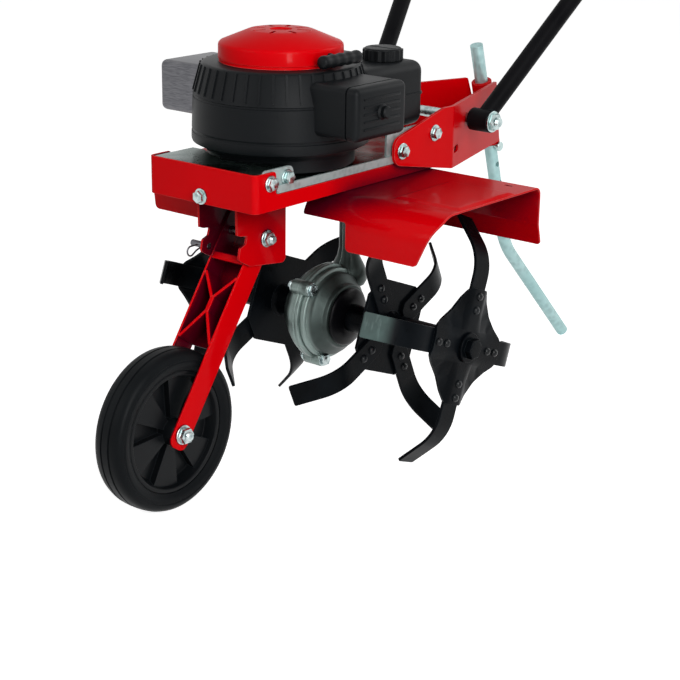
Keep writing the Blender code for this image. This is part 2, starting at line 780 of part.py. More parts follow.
def guards(tiller):
    """A pressed steel guard over the tines on each side."""
    profile = guard_profile()
    shoulder = profile.runs[2][0]
    tab = GUARD_TAB_HEIGHT - GUARD_TOE_HEIGHT
    flat_start = shoulder - (GUARD_FRONT + GUARD_FRONT_RADIUS + GUARD_SHEET / 2)
    for name, side in SIDES:
        trim = GUARD_RIGHT_TRIM if side < 0 else 0.0
        outer, toe_outer = GUARD_OUTER - trim, GUARD_TOE_OUTER - trim
        outline = rounded([
            (GUARD_TAB_INNER, 0, GUARD_TOE_CORNER), (toe_outer, 0, GUARD_TOE_CORNER),
            (outer, shoulder - GUARD_EAR_DROP, GUARD_EAR_RADIUS), (outer, profile.length, GUARD_CORNER),
            (GUARD_INNER, profile.length, GUARD_CORNER), (GUARD_INNER, tab, GUARD_CORNER),
            (GUARD_TAB_INNER, tab, GUARD_CORNER),
        ], 0, 3)
        press = PressedPanel(
            GUARD_PANEL_INNER, outer + GUARD_PANEL_SLOPE, GUARD_PANEL_FRONT + flat_start,
            GUARD_PANEL_REAR + flat_start, GUARD_PANEL_DEPTH, GUARD_PANEL_SLOPE,
        )

        def fold(across, along, sunk, side=side):
            point, _ = profile.at(along)
            return (side * across, point.x, point.y - sunk)

        panel = folded(outline, profile.stations(4), fold, GUARD_SHEET, press)
        tiller.add("guard_" + name, panel, "chassis", RED_PAINT)


def wheel_bracket(tiller):
    """The notched channel that carries the wheel fork, with its pivot bolt."""
    low, high = BRACKET_NOTCH
    root = BRACKET_FRONT + BRACKET_NOTCH_DEPTH
    top = FRAME_UNDERSIDE - CLEARANCE
    cheek = rounded([
        (BRACKET_FRONT, top, 0), (BRACKET_FRONT, high, 2), (root, high, 3), (root, low, 3), (BRACKET_FRONT, low, 2),
        (BRACKET_FRONT, BRACKET_LOW_FRONT + 14, 4), (root + 6, BRACKET_LOW_FRONT, 5),
        (BRACKET_REAR, BRACKET_LOW_REAR, 6), (BRACKET_REAR, top, 0),
    ], 0, 3)
    pivot_hole = circle((-PIVOT_AHEAD, PIVOT_ABOVE), PIVOT_BOLT_RADIUS + CLEARANCE)
    pin_hole = circle((-LOCK_PIN_AHEAD, LOCK_PIN_ABOVE), LOCK_PIN_RADIUS + CLEARANCE)
    edge = BRACKET_SHEET / 2
    web = block(
        (-BRACKET_INNER - edge, BRACKET_FRONT + edge, top - BRACKET_SHEET),
        (BRACKET_INNER + edge, BRACKET_REAR - edge, top - CLEARANCE / 2),
    )
    item = tiller.add("wheel_bracket", web, "chassis", RED_PAINT)
    for _, side in SIDES:
        plate = sheet(cheek, BRACKET_SHEET, [pivot_hole, pin_hole])
        tiller.join(item, plate, (side * (BRACKET_INNER + BRACKET_SHEET / 2), 0, 0), FACING_X)
    seat = BRACKET_OUTER + CLEARANCE
    tiller.add("fork_pivot_bolt", through_bolt(PIVOT_BOLT_RADIUS, seat, PIVOT_NUT_RADIUS), "chassis", ZINC, PIVOT, ALONG_X)


def through_bolt(radius, seat, nut):
    """A bolt along Z through two faces at +-seat: head and washer at one end, nut at the other."""
    washer = seat + WASHER_HEIGHT
    flange = nut + WASHER_REACH
    top = washer + BOLT_HEAD_HEIGHT
    return turned([
        (0, top + radius), (radius, top + radius), (radius, top), (nut, top), (nut, washer), (flange, washer), (flange, seat),
        (radius, seat), (radius, -seat), (flange, -seat), (flange, -washer), (nut, -washer), (nut, -top), (0, -top),
    ], HEX_STEPS)


def lock_pin(tiller):
    """The fork's lock pin, drawn back in the bracket, and the spring clip through its end."""
    inner = BRACKET_INNER + CLEARANCE
    clip_at = BRACKET_OUTER + CLIP_STAND_OFF
    spot = (-inner, -LOCK_PIN_AHEAD, LOCK_PIN_ABOVE)
    pin = drum(LOCK_PIN_RADIUS, 0, LOCK_PIN_LENGTH, SMALL_STEPS)
    item = tiller.add("lock_pin", pin, "lock_pin", ZINC, spot, ALONG_MINUS_X)
    tiller.shape(item, drum(CLIP_WIRE + CLEARANCE, -10, 10, 8), at=(-clip_at, *spot[1:]), turn=ALONG_MINUS_Y)
    reach = LOCK_PIN_RADIUS + CLIP_WIRE + CLEARANCE
    leg = CLIP_LENGTH / 2
    eye = [math.radians(turn) for turn in range(0, -211, -30)]
    run = [(0.0, leg), (0.0, -leg)]
    run += [(CLIP_EYE * (1 - math.cos(t)), -leg + CLIP_EYE * math.sin(t)) for t in eye[1:]]
    run += [(reach + CLIP_WIRE, -reach), (reach, 0.0), (reach + CLIP_WIRE, reach)]
    wire = [(-clip_at, spot[1] + y, spot[2] - z) for z, y in run]
    tiller.add("lock_clip", rod(wire, CLIP_WIRE, 1), "lock_pin", STEEL)


def wheel_fork(tiller):
    """The fork: two arms, a rear web and the ribs between them, turning on the pivot bolt."""
    half = FORK_ARM_WIDTH / 2
    turns = [math.pi * k / 6 for k in range(7)]
    arm = [(half * math.cos(t), half * math.sin(t)) for t in turns]
    arm += [(-half * math.cos(t), -FORK_LENGTH - half * math.sin(t)) for t in turns]
    holes = [circle((0, 0), PIVOT_BOLT_RADIUS + CLEARANCE), circle((0, -FORK_LENGTH), AXLE_RADIUS + CLEARANCE)]
    tilt = Matrix.Rotation(-FORK_TILT, 4, "X")
    upright = tilt @ FACING_X.to_matrix().to_4x4()
    reach = FORK_INNER_WIDTH / 2 + FORK_SHEET / 2
    web_low = -(FORK_LENGTH - WHEEL_RADIUS - FORK_TYRE_ROOM)
    inside = FORK_INNER_WIDTH / 2 + FORK_SHEET / 2
    web = block((-inside, half - FORK_SHEET, web_low), (inside, half - 0.5, -half))
    item = tiller.add("wheel_fork", web, "fork", RED_PAINT, PIVOT, tilt)
    for _, side in SIDES:
        place = Matrix.Translation(Vector((side * reach, 0, 0)) * MM)
        tiller.join(item, sheet(arm, FORK_SHEET, holes), PIVOT, place @ upright)
    front = 0.5 - half
    tie = block((-inside, front, -FORK_TIE_AT - 5), (inside, front + FORK_RIB_DEPTH, -FORK_TIE_AT + 5), 1.5, 1)
    tiller.join(item, tie, PIVOT, tilt)
    run = -web_low - FORK_CROSS_TOP
    lean = math.atan2(FORK_INNER_WIDTH, run)
    length = math.hypot(FORK_INNER_WIDTH, run)
    middle = Matrix.Translation((0, 0, -(FORK_CROSS_TOP + run / 2) * MM))
    for sign in (1, -1):
        rib = block((-FORK_RIB_THICKNESS / 2, front + 2, -length / 2), (FORK_RIB_THICKNESS / 2, half - 1, length / 2))
        tiller.join(item, rib, PIVOT, tilt @ middle @ Matrix.Rotation(sign * lean, 4, "Y"))
    axle = through_bolt(AXLE_RADIUS, FORK_OUTER + CLEARANCE, AXLE_NUT_RADIUS)
    tiller.add("wheel_axle", axle, "fork", ZINC, AXLE, ALONG_X)


def front_wheel(tiller):
    """Rubber tyre on a spoked plastic rim."""
    half, seat = TYRE_WIDTH / 2, WHEEL_RADIUS - TYRE_DEPTH
    edge = RIM_WIDTH / 2
    tread = half - TYRE_SHOULDER
    crown = WHEEL_RADIUS - TYRE_CROWN
    wall = (crown + seat) / 2
    tyre = [
        (crown, half - 1), (WHEEL_RADIUS, tread), (WHEEL_RADIUS, -tread), (crown, 1 - half), (wall, -half), (seat, -edge),
        (seat, edge), (wall, half),
    ]
    tiller.add("wheel_tyre", turned(tyre, WHEEL_STEPS, ring=True), "wheel", RUBBER, AXLE, ALONG_X)
    outer = seat - CLEARANCE
    bore = AXLE_RADIUS + CLEARANCE
    boss = FORK_INNER_WIDTH / 2 - CLEARANCE
    web = SPOKE_WEB / 2
    rim = [
        (outer, edge), (outer, -edge), (outer - RIM_WALL, -edge), (outer - RIM_WALL - 2, -web), (HUB_RADIUS, -web),
        (HUB_RADIUS, -edge), (HUB_RADIUS - 2, -boss), (bore, -boss), (bore, boss), (HUB_RADIUS - 2, boss), (HUB_RADIUS, edge),
        (HUB_RADIUS, web), (outer - RIM_WALL - 2, web), (outer - RIM_WALL, edge),
    ]
    item = tiller.add("wheel_rim", turned(rim, WHEEL_STEPS, ring=True), "wheel", BLACK_PLASTIC, AXLE, ALONG_X)
    lead = math.radians(SPOKE_LEAD)
    root, foot = HUB_RADIUS - RIM_WALL / 2, outer - RIM_WALL / 2
    narrow, wide = SPOKE_WIDTH / 2, SPOKE_RIM_WIDTH / 2
    spoke = [(-narrow, root), (narrow, root), (wide, foot), (-wide, foot)]
    for k in range(WHEEL_SPOKES):
        turn = Matrix.Rotation(2 * math.pi * k / WHEEL_SPOKES - lead, 4, "X")
        tiller.join(item, sheet(spoke, SPOKE_DEPTH), AXLE, turn @ FACING_X.to_matrix().to_4x4())


def case_lugs():
    """Places (Y, Z) of the gearbox's clamping lugs."""
    turns = [math.radians(angle) for angle in CASE_LUG_ANGLES]
    return [(CASE_LUG_CIRCLE * math.cos(t), CASE_LUG_CIRCLE * math.sin(t)) for t in turns]


def gearbox(tiller):
    """Two ridged case halves that meet on the middle plane, their bearings and seal caps."""
    inner_wall = CASE_HALF_WIDTH - BEARING_WIDTH
    top = FRAME_UNDERSIDE - CLEARANCE
    face = CLEARANCE / 2
    wide = NECK_FLANGE / 2
    far = 4 * CASE_FLANGE_RADIUS
    for name, side in SIDES:
        shell = turned([
            (0, CASE_HALF_WIDTH), (CASE_BOSS_RADIUS, CASE_HALF_WIDTH), (CASE_BOSS_RADIUS, CASE_HALF_WIDTH - CASE_STEP),
            (CASE_RADIUS, CASE_RIM_WIDTH + CASE_STEP), (CASE_RADIUS, CASE_RIM_WIDTH),
            (CASE_RIM_RADIUS, CASE_RIM_WIDTH), (CASE_RIM_RADIUS, CASE_FLANGE_WIDTH + CASE_GROOVE),
            (CASE_RIM_RADIUS - CASE_GROOVE, CASE_FLANGE_WIDTH + CASE_GROOVE),
            (CASE_RIM_RADIUS - CASE_GROOVE, CASE_FLANGE_WIDTH),
            (CASE_FLANGE_RADIUS, CASE_FLANGE_WIDTH), (CASE_FLANGE_RADIUS, -1), (0, -1),
        ], ROUND_STEPS)
        item = tiller.add("gearbox_half_" + name, shell, "chassis", ALUMINIUM, turn=outward(side))
        neck = turned([
            (0, top - 1), (NECK_RADIUS + 4, top - 1), (NECK_RADIUS, top - 3 * NECK_FLANGE_HEIGHT), (NECK_RADIUS, -CASE_BOSS_RADIUS),
            (0, -CASE_BOSS_RADIUS),
        ], BORE_STEPS)
        tiller.join(item, neck, WORM_AXIS)
        low = (-wide, WORM_OFFSET - wide, top - NECK_FLANGE_HEIGHT)
        tiller.join(item, block(low, (wide, WORM_OFFSET + wide, top)))
        for spot in case_lugs():
            tiller.join(item, drum(CASE_LUG_RADIUS, -3, CASE_RIM_WIDTH + 1, 8), (0, *spot), outward(side))
            if side > 0:
                tiller.join(item, bolt_head(), (CASE_RIM_WIDTH + 1, *spot), outward(side))
        low, high = sorted((side * face, -side * far))
        tiller.shape(item, block((low, -far, -far), (high, far, far)))
        hollow = CASE_RADIUS - CASE_WALL
        tiller.shape(item, drum(hollow, -2, inner_wall - CASE_WALL, BORE_STEPS), turn=outward(side))
        tiller.shape(item, drum(NECK_BORE, CASE_WALL - CASE_BOSS_RADIUS, far, BORE_STEPS), at=WORM_AXIS)
        tiller.shape(item, drum(BEARING_RADIUS + CLEARANCE, 0, far, BORE_STEPS), turn=outward(side))
        start = inner_wall if side > 0 else -CASE_HALF_WIDTH
        ring = pipe(BEARING_RADIUS, SHAFT_RADIUS + CLEARANCE, start, start + BEARING_WIDTH, BORE_STEPS)
        tiller.add("shaft_bearing_" + name, ring, "chassis", STEEL, turn=ALONG_X)
        bore = SHAFT_RADIUS + CLEARANCE
        cap = turned([
            (HUB_TUBE_RADIUS, SEAL_CAP_DEPTH), (SEAL_CAP_RADIUS - SEAL_CAP_DEPTH, SEAL_CAP_DEPTH - 2),
            (SEAL_CAP_RADIUS, SEAL_CAP_DEPTH / 4), (SEAL_CAP_RADIUS, 0), (bore, 0),
            (bore, SEAL_CAP_DEPTH),
        ], BORE_STEPS, ring=True)
        spot = (side * (CASE_HALF_WIDTH + CLEARANCE), 0, 0)
        tiller.add("seal_cap_" + name, cap, "chassis", BLACK_PLASTIC, spot, outward(side))
    high = top - NECK_FLANGE_HEIGHT
    race = pipe(NECK_BORE - CLEARANCE, WORM_SHAFT_RADIUS + CLEARANCE, high - BEARING_WIDTH, high, BORE_STEPS)
    tiller.add("worm_bearing", race, "chassis", STEEL, WORM_AXIS)


def tooth_ring(teeth, tip, depth):
    """Outline of a toothed wheel with sloping flanks."""
    outline = []
    pitch = 2 * math.pi / teeth
    for k in range(teeth):
        for share, radius in ((-0.2, tip), (0.2, tip), (0.5, tip - depth)):
            turn = (k + share) * pitch
            outline.append((radius * math.cos(turn), radius * math.sin(turn)))
    return outline


def drive(tiller):
    """Worm and worm wheel, pulleys and belt."""
    tip = WORM_OFFSET - WORM_RADIUS - CLEARANCE
    bore = circle((0, 0), SHAFT_RADIUS + CLEARANCE, 16)
    wheel = sheet(tooth_ring(WHEEL_TEETH, tip, WHEEL_TOOTH_DEPTH), WORM_WHEEL_WIDTH, [bore])
    tiller.add("worm_wheel", wheel, "rotor", BRONZE, (0, 0, 0), FACING_X)
    top = BELT_PLANE + PULLEY_HALF_WIDTH
    foot = CASE_WALL - CASE_BOSS_RADIUS + CLEARANCE
    item = tiller.add("worm_shaft", drum(WORM_SHAFT_RADIUS, foot, top, 16), "worm", STEEL, WORM_AXIS)
    tiller.join(item, worm_thread(), WORM_AXIS)
    wheel = pulley(WORM_PULLEY_RADIUS, WORM_SHAFT_RADIUS)
    tiller.add("worm_pulley", wheel, "worm", ALUMINIUM, (0, WORM_OFFSET, BELT_PLANE))
    wheel = pulley(CRANK_PULLEY_RADIUS, CRANK_RADIUS)
    tiller.add("crank_pulley", wheel, "crank", ALUMINIUM, (0, -CRANK_AHEAD, BELT_PLANE))
    tiller.add("drive_belt", belt(), "chassis", RUBBER, (0, 0, BELT_PLANE))


def worm_thread():
    """The worm: a two-start thread swept by turning its cross-section along Z."""
    around = 10
    layers = round(WORM_LENGTH / WORM_LEAD * 4)
    work = bmesh.new()
    rings = []
    for layer in range(layers + 1):
        height = WORM_LENGTH * (layer / layers - 0.5)
        ring = []
        for k in range(around):
            turn = 2 * math.pi * k / around
            phase = math.cos(WORM_STARTS * (turn - 2 * math.pi * height / WORM_LEAD))
            share = max(0.0, min(1.0, 0.5 + phase))
            radius = WORM_ROOT + (WORM_RADIUS - WORM_ROOT) * share
            ring.append(work.verts.new(Vector((radius * math.cos(turn), radius * math.sin(turn), height)) * MM))
        rings.append(ring)
    for low, high in zip(rings, rings[1:]):
        for k in range(around):
            work.faces.new((low[k], low[(k + 1) % around], high[(k + 1) % around], high[k]))
    work.faces.new(rings[0][::-1])
    work.faces.new(rings[-1])
    return to_mesh(work)


def pulley(radius, shaft):
    """A V pulley along Z, its groove sized to the belt."""
    half = PULLEY_HALF_WIDTH
    top = BELT_TOP_WIDTH / 2 + 2 * CLEARANCE
    low = BELT_BOTTOM_WIDTH / 2 + 2 * CLEARANCE
    floor = radius - BELT_DEPTH - CLEARANCE
    return turned([
        (radius, half), (radius, top), (floor, low), (floor, -low), (radius, -top), (radius, -half),
        (shaft + CLEARANCE, -half), (shaft + CLEARANCE, half),
    ], ROUND_STEPS, ring=True)


def belt():
    """The V-belt round both pulleys, as a closed loop of its section."""
    near, far = Vector((0, -CRANK_AHEAD)), Vector((0, WORM_OFFSET))
    lean = math.asin((WORM_PULLEY_RADIUS - CRANK_PULLEY_RADIUS) / (far - near).length)
    steps = SMALL_STEPS
    stations = []
    for centre, radius, start, sweep in (
        (far, WORM_PULLEY_RADIUS, -lean, math.pi + 2 * lean),
        (near, CRANK_PULLEY_RADIUS, math.pi + lean, math.pi - 2 * lean),
    ):
        for k in range(steps + 1):
            turn = start + sweep * k / steps
            stations.append((centre, radius, Vector((math.cos(turn), math.sin(turn)))))
    work = bmesh.new()
    rings = []
    for centre, radius, out in stations:
        high = centre + out * (radius + BELT_PROUD)
        low = centre + out * (radius - BELT_DEPTH + 2 * CLEARANCE)
        corners = (
            (high, BELT_TOP_WIDTH / 2), (high, -BELT_TOP_WIDTH / 2), (low, -BELT_BOTTOM_WIDTH / 2), (low, BELT_BOTTOM_WIDTH / 2),
        )
        rings.append([work.verts.new(Vector((p.x, p.y, z)) * MM) for p, z in corners])
    for ring, ahead in zip(rings, rings[1:] + rings[:1]):
        for k in range(4):
            work.faces.new((ring[k], ring[(k + 1) % 4], ahead[(k + 1) % 4], ahead[k]))
    return to_mesh(work)


def tine_plate_outline(reach, waist=None):
    """A four-armed plate; its sides run straight from arm to arm, or dip to a waist."""
    half = TINE_PLATE_ARM_WIDTH / 2
    outline = []
    for k in range(4):
        spin = Matrix.Rotation(math.pi / 2 * k, 2)
        outline += [tuple(spin @ Vector(p)) for p in ((reach, -half), (reach, half))]
        if waist is not None:
            outline.append(tuple(spin @ Matrix.Rotation(math.pi / 4, 2) @ Vector((waist, 0))))
    return outline


def bent_blade(bend):
    """A tine: a flat strip riveted at its root and bent across its tip; bend is +1 towards +X or -1."""
    profile = Bends((0.0, 0.0), 0.0)
    profile.straight(BLADE_BEND_START - BLADE_ROOT)
    profile.bend(BLADE_BEND_RADIUS, bend * math.radians(BLADE_BEND_ANGLE)).straight(BLADE_TIP_LENGTH)
    half = BLADE_WIDTH / 2
    end = profile.length
    outline = rounded([
        (-half, 0, BLADE_CORNER), (half, 0, BLADE_CORNER), (half, end, BLADE_TIP_CORNER), (-half, end, BLADE_TIP_CORNER),
    ], 0, 1)

    def fold(across, along, _):
        point, _ = profile.at(along)
        return (point.y, across, BLADE_ROOT + point.x)

    return folded(outline, profile.stations(3), fold, BLADE_SHEET)


def tine_rotor(tiller):
    """Tine shaft with its end bolts, hubs with their plates, and the bent tines on them."""
    end = PLATE_STATION_OUTER + TINE_PLATE_SHEET / 2 + CLEARANCE
    far = RIGHT_SET_IN - end
    rim = end + HUB_WASHER_HEIGHT
    shaft = turned([
        (0, rim), (HUB_WASHER_RADIUS, rim), (HUB_WASHER_RADIUS, end), (SHAFT_RADIUS, end), (SHAFT_RADIUS, far),
        (HUB_WASHER_RADIUS, far), (HUB_WASHER_RADIUS, far - HUB_WASHER_HEIGHT), (0, far - HUB_WASHER_HEIGHT),
    ])
    item = tiller.add("tine_shaft", shaft, "rotor", BLACK_PAINT, turn=ALONG_X)
    head = HUB_BOLT_HEIGHT
    for name, side in SIDES:
        set_in = RIGHT_SET_IN if side < 0 else 0.0
        nut = turned([
            (0, head), (HUB_BOLT_RADIUS - 1, head), (HUB_BOLT_RADIUS, head - 1), (HUB_BOLT_RADIUS, -1), (0, -1),
        ], HEX_STEPS)
        tiller.join(item, nut, (side * (rim - set_in), 0, 0), outward(side))
        bore = SHAFT_RADIUS + CLEARANCE
        begin = CASE_HALF_WIDTH + SEAL_CAP_DEPTH + 2 * CLEARANCE
        tube = pipe(HUB_TUBE_RADIUS, bore, begin, PLATE_STATION_OUTER - set_in, BORE_STEPS)
        hub = tiller.add("tine_hub_" + name, tube, "rotor", BLACK_PAINT, turn=outward(side))
        gap = TINE_PLATE_SHEET / 2 + CLEARANCE + BLADE_SHEET / 2
        star, square = tine_plate_outline(TINE_PLATE_REACH, TINE_PLATE_WAIST), tine_plate_outline(SQUARE_PLATE_REACH)
        for place, station, angle, bends, outline, face in (
            ("outer", PLATE_STATION_OUTER - set_in, OUTER_SET_ANGLE, (-1, -1, -1, -1), star, -1),
            ("inner", PLATE_STATION_INNER - set_in, INNER_SET_ANGLE, (-1, 1, -1, 1), square, 1),
        ):
            hole = SHAFT_RADIUS + CLEARANCE if place == "outer" else (SHAFT_RADIUS + HUB_TUBE_RADIUS) / 2
            lie = Matrix.Rotation(math.radians(angle), 4, "X") @ FACING_X.to_matrix().to_4x4()
            plate = sheet(outline, TINE_PLATE_SHEET, [circle((0, 0), hole, BORE_STEPS)])
            tiller.join(hub, plate, (side * station, 0, 0), lie)
            for k, bend in enumerate(bends):
                radial = Matrix.Rotation(math.radians(angle + 90 * k - 90), 4, "X")
                spot = (side * (station + face * gap), 0, 0)
                tiller.add(f"tine_{place}_{name}_{k + 1}", bent_blade(bend * side), "rotor", BLACK_PAINT, spot, radial)


def housing_outline(grow):
    """The blower housing's outer side in (radius, height), top to bottom, moved out by grow."""
    return [
        (ENGINE_TOP_RADIUS + grow, ENGINE_TOP + grow), (ENGINE_SHOULDER_RADIUS + grow, ENGINE_SHOULDER + grow),
        (ENGINE_FLARE_RADIUS + grow, ENGINE_FLARE_TOP), (ENGINE_SKIRT_RADIUS + grow, ENGINE_SKIRT_TOP),
        (ENGINE_SKIRT_RADIUS + grow, ENGINE_SKIRT_BOTTOM),
    ]


def engine(tiller):
    """Crankcase on its pad, crankshaft, blower housing, starter, tank, air cleaner and muffler."""
    seat = DECK_TOP + CLEARANCE
    floor = ENGINE_SKIRT_BOTTOM + ENGINE_SHELL
    flat_to_flat = math.cos(math.pi / HOUSING_STEPS)
    spigot = (ENGINE_SKIRT_RADIUS - ENGINE_SHELL) * flat_to_flat - 2 * CLEARANCE
    bore = CRANK_RADIUS + CLEARANCE
    foot = seat + CRANKCASE_LIFT
    case = turned([
        (CRANKCASE_RADIUS, CRANKCASE_TOP), (CRANKCASE_RADIUS, floor + SPIGOT_HEIGHT), (spigot, floor + SPIGOT_HEIGHT),
        (spigot, floor), (CRANKCASE_RADIUS, floor), (CRANKCASE_RADIUS - CRANKCASE_TAPER, foot),
        (bore, foot), (bore, CRANKCASE_TOP),
    ], ROUND_STEPS, ring=True)
    item = tiller.add("crankcase", case, "chassis", BLACK_PAINT, CRANK_AXIS)
    pad = block((-PAD_HALF_WIDTH, PAD_FRONT, seat), (PAD_HALF_WIDTH, PAD_REAR, floor + SPIGOT_HEIGHT / 2))
    tiller.join(item, pad)
    tiller.shape(item, drum(bore, seat - CUT_PAST, CRANKCASE_TOP + CUT_PAST), at=CRANK_AXIS)
    disc = CRANKCASE_TOP + CLEARANCE
    crank = turned([
        (0, disc + FLYWHEEL_HEIGHT), (FLYWHEEL_RADIUS, disc + FLYWHEEL_HEIGHT), (FLYWHEEL_RADIUS, disc), (CRANK_RADIUS, disc),
        (CRANK_RADIUS, BELT_PLANE - PULLEY_HALF_WIDTH), (0, BELT_PLANE - PULLEY_HALF_WIDTH),
    ])
    tiller.add("crankshaft", crank, "crank", STEEL, CRANK_AXIS)
    inner = [(radius, height) for radius, height in housing_outline(-ENGINE_SHELL)]
    shell = [(ENGINE_MOUTH_RADIUS, ENGINE_TOP)] + housing_outline(0)
    shell += inner[::-1] + [(ENGINE_MOUTH_RADIUS, ENGINE_TOP - ENGINE_SHELL)]
    tiller.add("blower_housing", turned(shell, HOUSING_STEPS, ring=True), "chassis", BLACK_PLASTIC, CRANK_AXIS)
    recoil_starter(tiller)
    side_pieces(tiller)


def recoil_starter(tiller):
    """Slotted starter cover and its pull grip."""
    wall = ENGINE_SHELL
    base = ENGINE_TOP + CLEARANCE
    crown, brow = base + RECOIL_HEIGHT, base + RECOIL_BROW
    flat = RECOIL_RADIUS - RECOIL_HEIGHT
    cover = turned([
        (0, crown), (flat, crown), (RECOIL_RADIUS, brow), (RECOIL_RADIUS, base), (RECOIL_RADIUS - wall, base),
        (RECOIL_RADIUS - wall, brow - wall / 2), (flat - wall / 2, crown - wall), (0, crown - wall),
    ], ROUND_STEPS)
    item = tiller.add("recoil_cover", cover, "chassis", RED_PAINT, CRANK_AXIS)
    inner, outer = RECOIL_VENT_INNER, RECOIL_VENT_INNER + RECOIL_VENT_LENGTH
    slots = []
    for k in range(RECOIL_VENTS):
        slot = block((inner, -RECOIL_VENT_WIDTH / 2, brow), (outer, RECOIL_VENT_WIDTH / 2, crown + wall))
        slots.append(placed(slot, CRANK_AXIS, Matrix.Rotation(2 * math.pi * (k + 0.5) / RECOIL_VENTS, 4, "Z")))
    tiller.shape(item, group(slots))
    start = RECOIL_RADIUS + CLEARANCE
    height = (base + brow) / 2
    stem = turned([(0, GRIP_STEM), (GRIP_STEM_RADIUS, GRIP_STEM), (GRIP_STEM_RADIUS, 0), (0, 0)], SMALL_STEPS)
    grip = tiller.add("starter_grip", stem, "starter", BLACK_PLASTIC, (start, -CRANK_AHEAD, height), ALONG_X)
    reach = GRIP_BAR_LENGTH / 2
    bar = turned([
        (0, reach), (GRIP_BAR_RADIUS - 2, reach), (GRIP_BAR_RADIUS, reach - 3), (GRIP_BAR_RADIUS, 3 - reach),
        (GRIP_BAR_RADIUS - 2, -reach), (0, -reach),
    ], SMALL_STEPS)
    tiller.join(grip, bar, (start + GRIP_STEM, -CRANK_AHEAD, height), ALONG_MINUS_Y)


def side_pieces(tiller):
    """Fuel tank behind the housing, air cleaner on the left and muffler on the right."""
    cut = [(0, ENGINE_TOP + CUT_PAST)] + housing_outline(CLEARANCE) + [(0, ENGINE_SKIRT_BOTTOM)]
    cut[1] = (cut[1][0], ENGINE_TOP + CUT_PAST)
    tank = block((-TANK_HALF_WIDTH, PAD_REAR, TANK_BOTTOM), (TANK_HALF_WIDTH, TANK_REAR, TANK_TOP), TANK_EDGE, 3)
    item = tiller.add("fuel_tank", tank, "chassis", BLACK_PLASTIC)
    tiller.shape(item, turned(cut, HOUSING_STEPS), at=CRANK_AXIS)
    neck = drum(TANK_NECK_RADIUS, -TANK_EDGE, TANK_NECK_HEIGHT)
    tiller.join(item, neck, (TANK_NECK_ACROSS, TANK_NECK_ALONG, TANK_TOP))
    roof = TANK_NECK_HEIGHT + CLEARANCE
    hole = TANK_NECK_RADIUS + CLEARANCE
    cap = turned([
        (0, roof + CAP_ROOF), (CAP_RADIUS - 2, roof + CAP_ROOF), (CAP_RADIUS, roof + CAP_ROOF - 2), (CAP_RADIUS, CLEARANCE),
        (hole, CLEARANCE), (hole, roof), (0, roof),
    ])
    tiller.add("fuel_cap", cap, "cap", BLACK_PLASTIC, (TANK_NECK_ACROSS, TANK_NECK_ALONG, TANK_TOP))
    box = ((PAD_HALF_WIDTH, SIDE_BOX_FRONT, SIDE_BOX_BOTTOM), (SIDE_BOX_REACH, SIDE_BOX_REAR, SIDE_BOX_TOP))
    cleaner = tiller.add("air_cleaner", block(*box, SIDE_BOX_EDGE), "chassis", BLACK_PLASTIC)
    tiller.shape(cleaner, turned(cut, HOUSING_STEPS), at=CRANK_AXIS)
    seam = SIDE_BOX_REACH - SIDE_COVER
    tiller.shape(cleaner, frame_groove(seam, SEAM_WIDTH, SEAM_DEPTH))
    mirrored = [(-box[1][0], *box[0][1:]), (-box[0][0], *box[1][1:])]
    muffler = tiller.add("muffler", block(*mirrored, SIDE_BOX_EDGE), "chassis", STEEL)
    tiller.shape(muffler, turned(cut, HOUSING_STEPS), at=CRANK_AXIS)
    height = (SIDE_BOX_TOP - SIDE_BOX_BOTTOM) / (MUFFLER_LOUVRES + 1)
    slots = []
    for k in range(MUFFLER_LOUVRES):
        level = SIDE_BOX_BOTTOM + height * (k + 1)
        front, rear = SIDE_BOX_FRONT + SIDE_COVER, SIDE_BOX_REAR - SIDE_COVER
        deep = 1 - SIDE_BOX_REACH + LOUVRE_DEPTH
        slots.append(block((-SIDE_BOX_REACH - 1, front, level - LOUVRE_HEIGHT / 2), (deep, rear, level + LOUVRE_HEIGHT / 2)))
    tiller.shape(muffler, group(slots))


def frame_groove(start, width, depth):
    """A cutter for a shallow groove round the air cleaner where its cover meets its box."""
    far = SIDE_BOX_TOP - SIDE_BOX_BOTTOM
    outer = [
        (SIDE_BOX_FRONT - far, SIDE_BOX_BOTTOM - far), (SIDE_BOX_REAR + far, SIDE_BOX_BOTTOM - far),
        (SIDE_BOX_REAR + far, SIDE_BOX_TOP + far), (SIDE_BOX_FRONT - far, SIDE_BOX_TOP + far),
    ]
    front, rear = SIDE_BOX_FRONT + depth, SIDE_BOX_REAR - depth
    low, high = SIDE_BOX_BOTTOM + depth, SIDE_BOX_TOP - depth
    inner = rounded([(front, low), (rear, low), (rear, high), (front, high)], SIDE_BOX_EDGE, 3)
    return placed(sheet(outer, width, [inner]), (start, 0, 0), FACING_X)


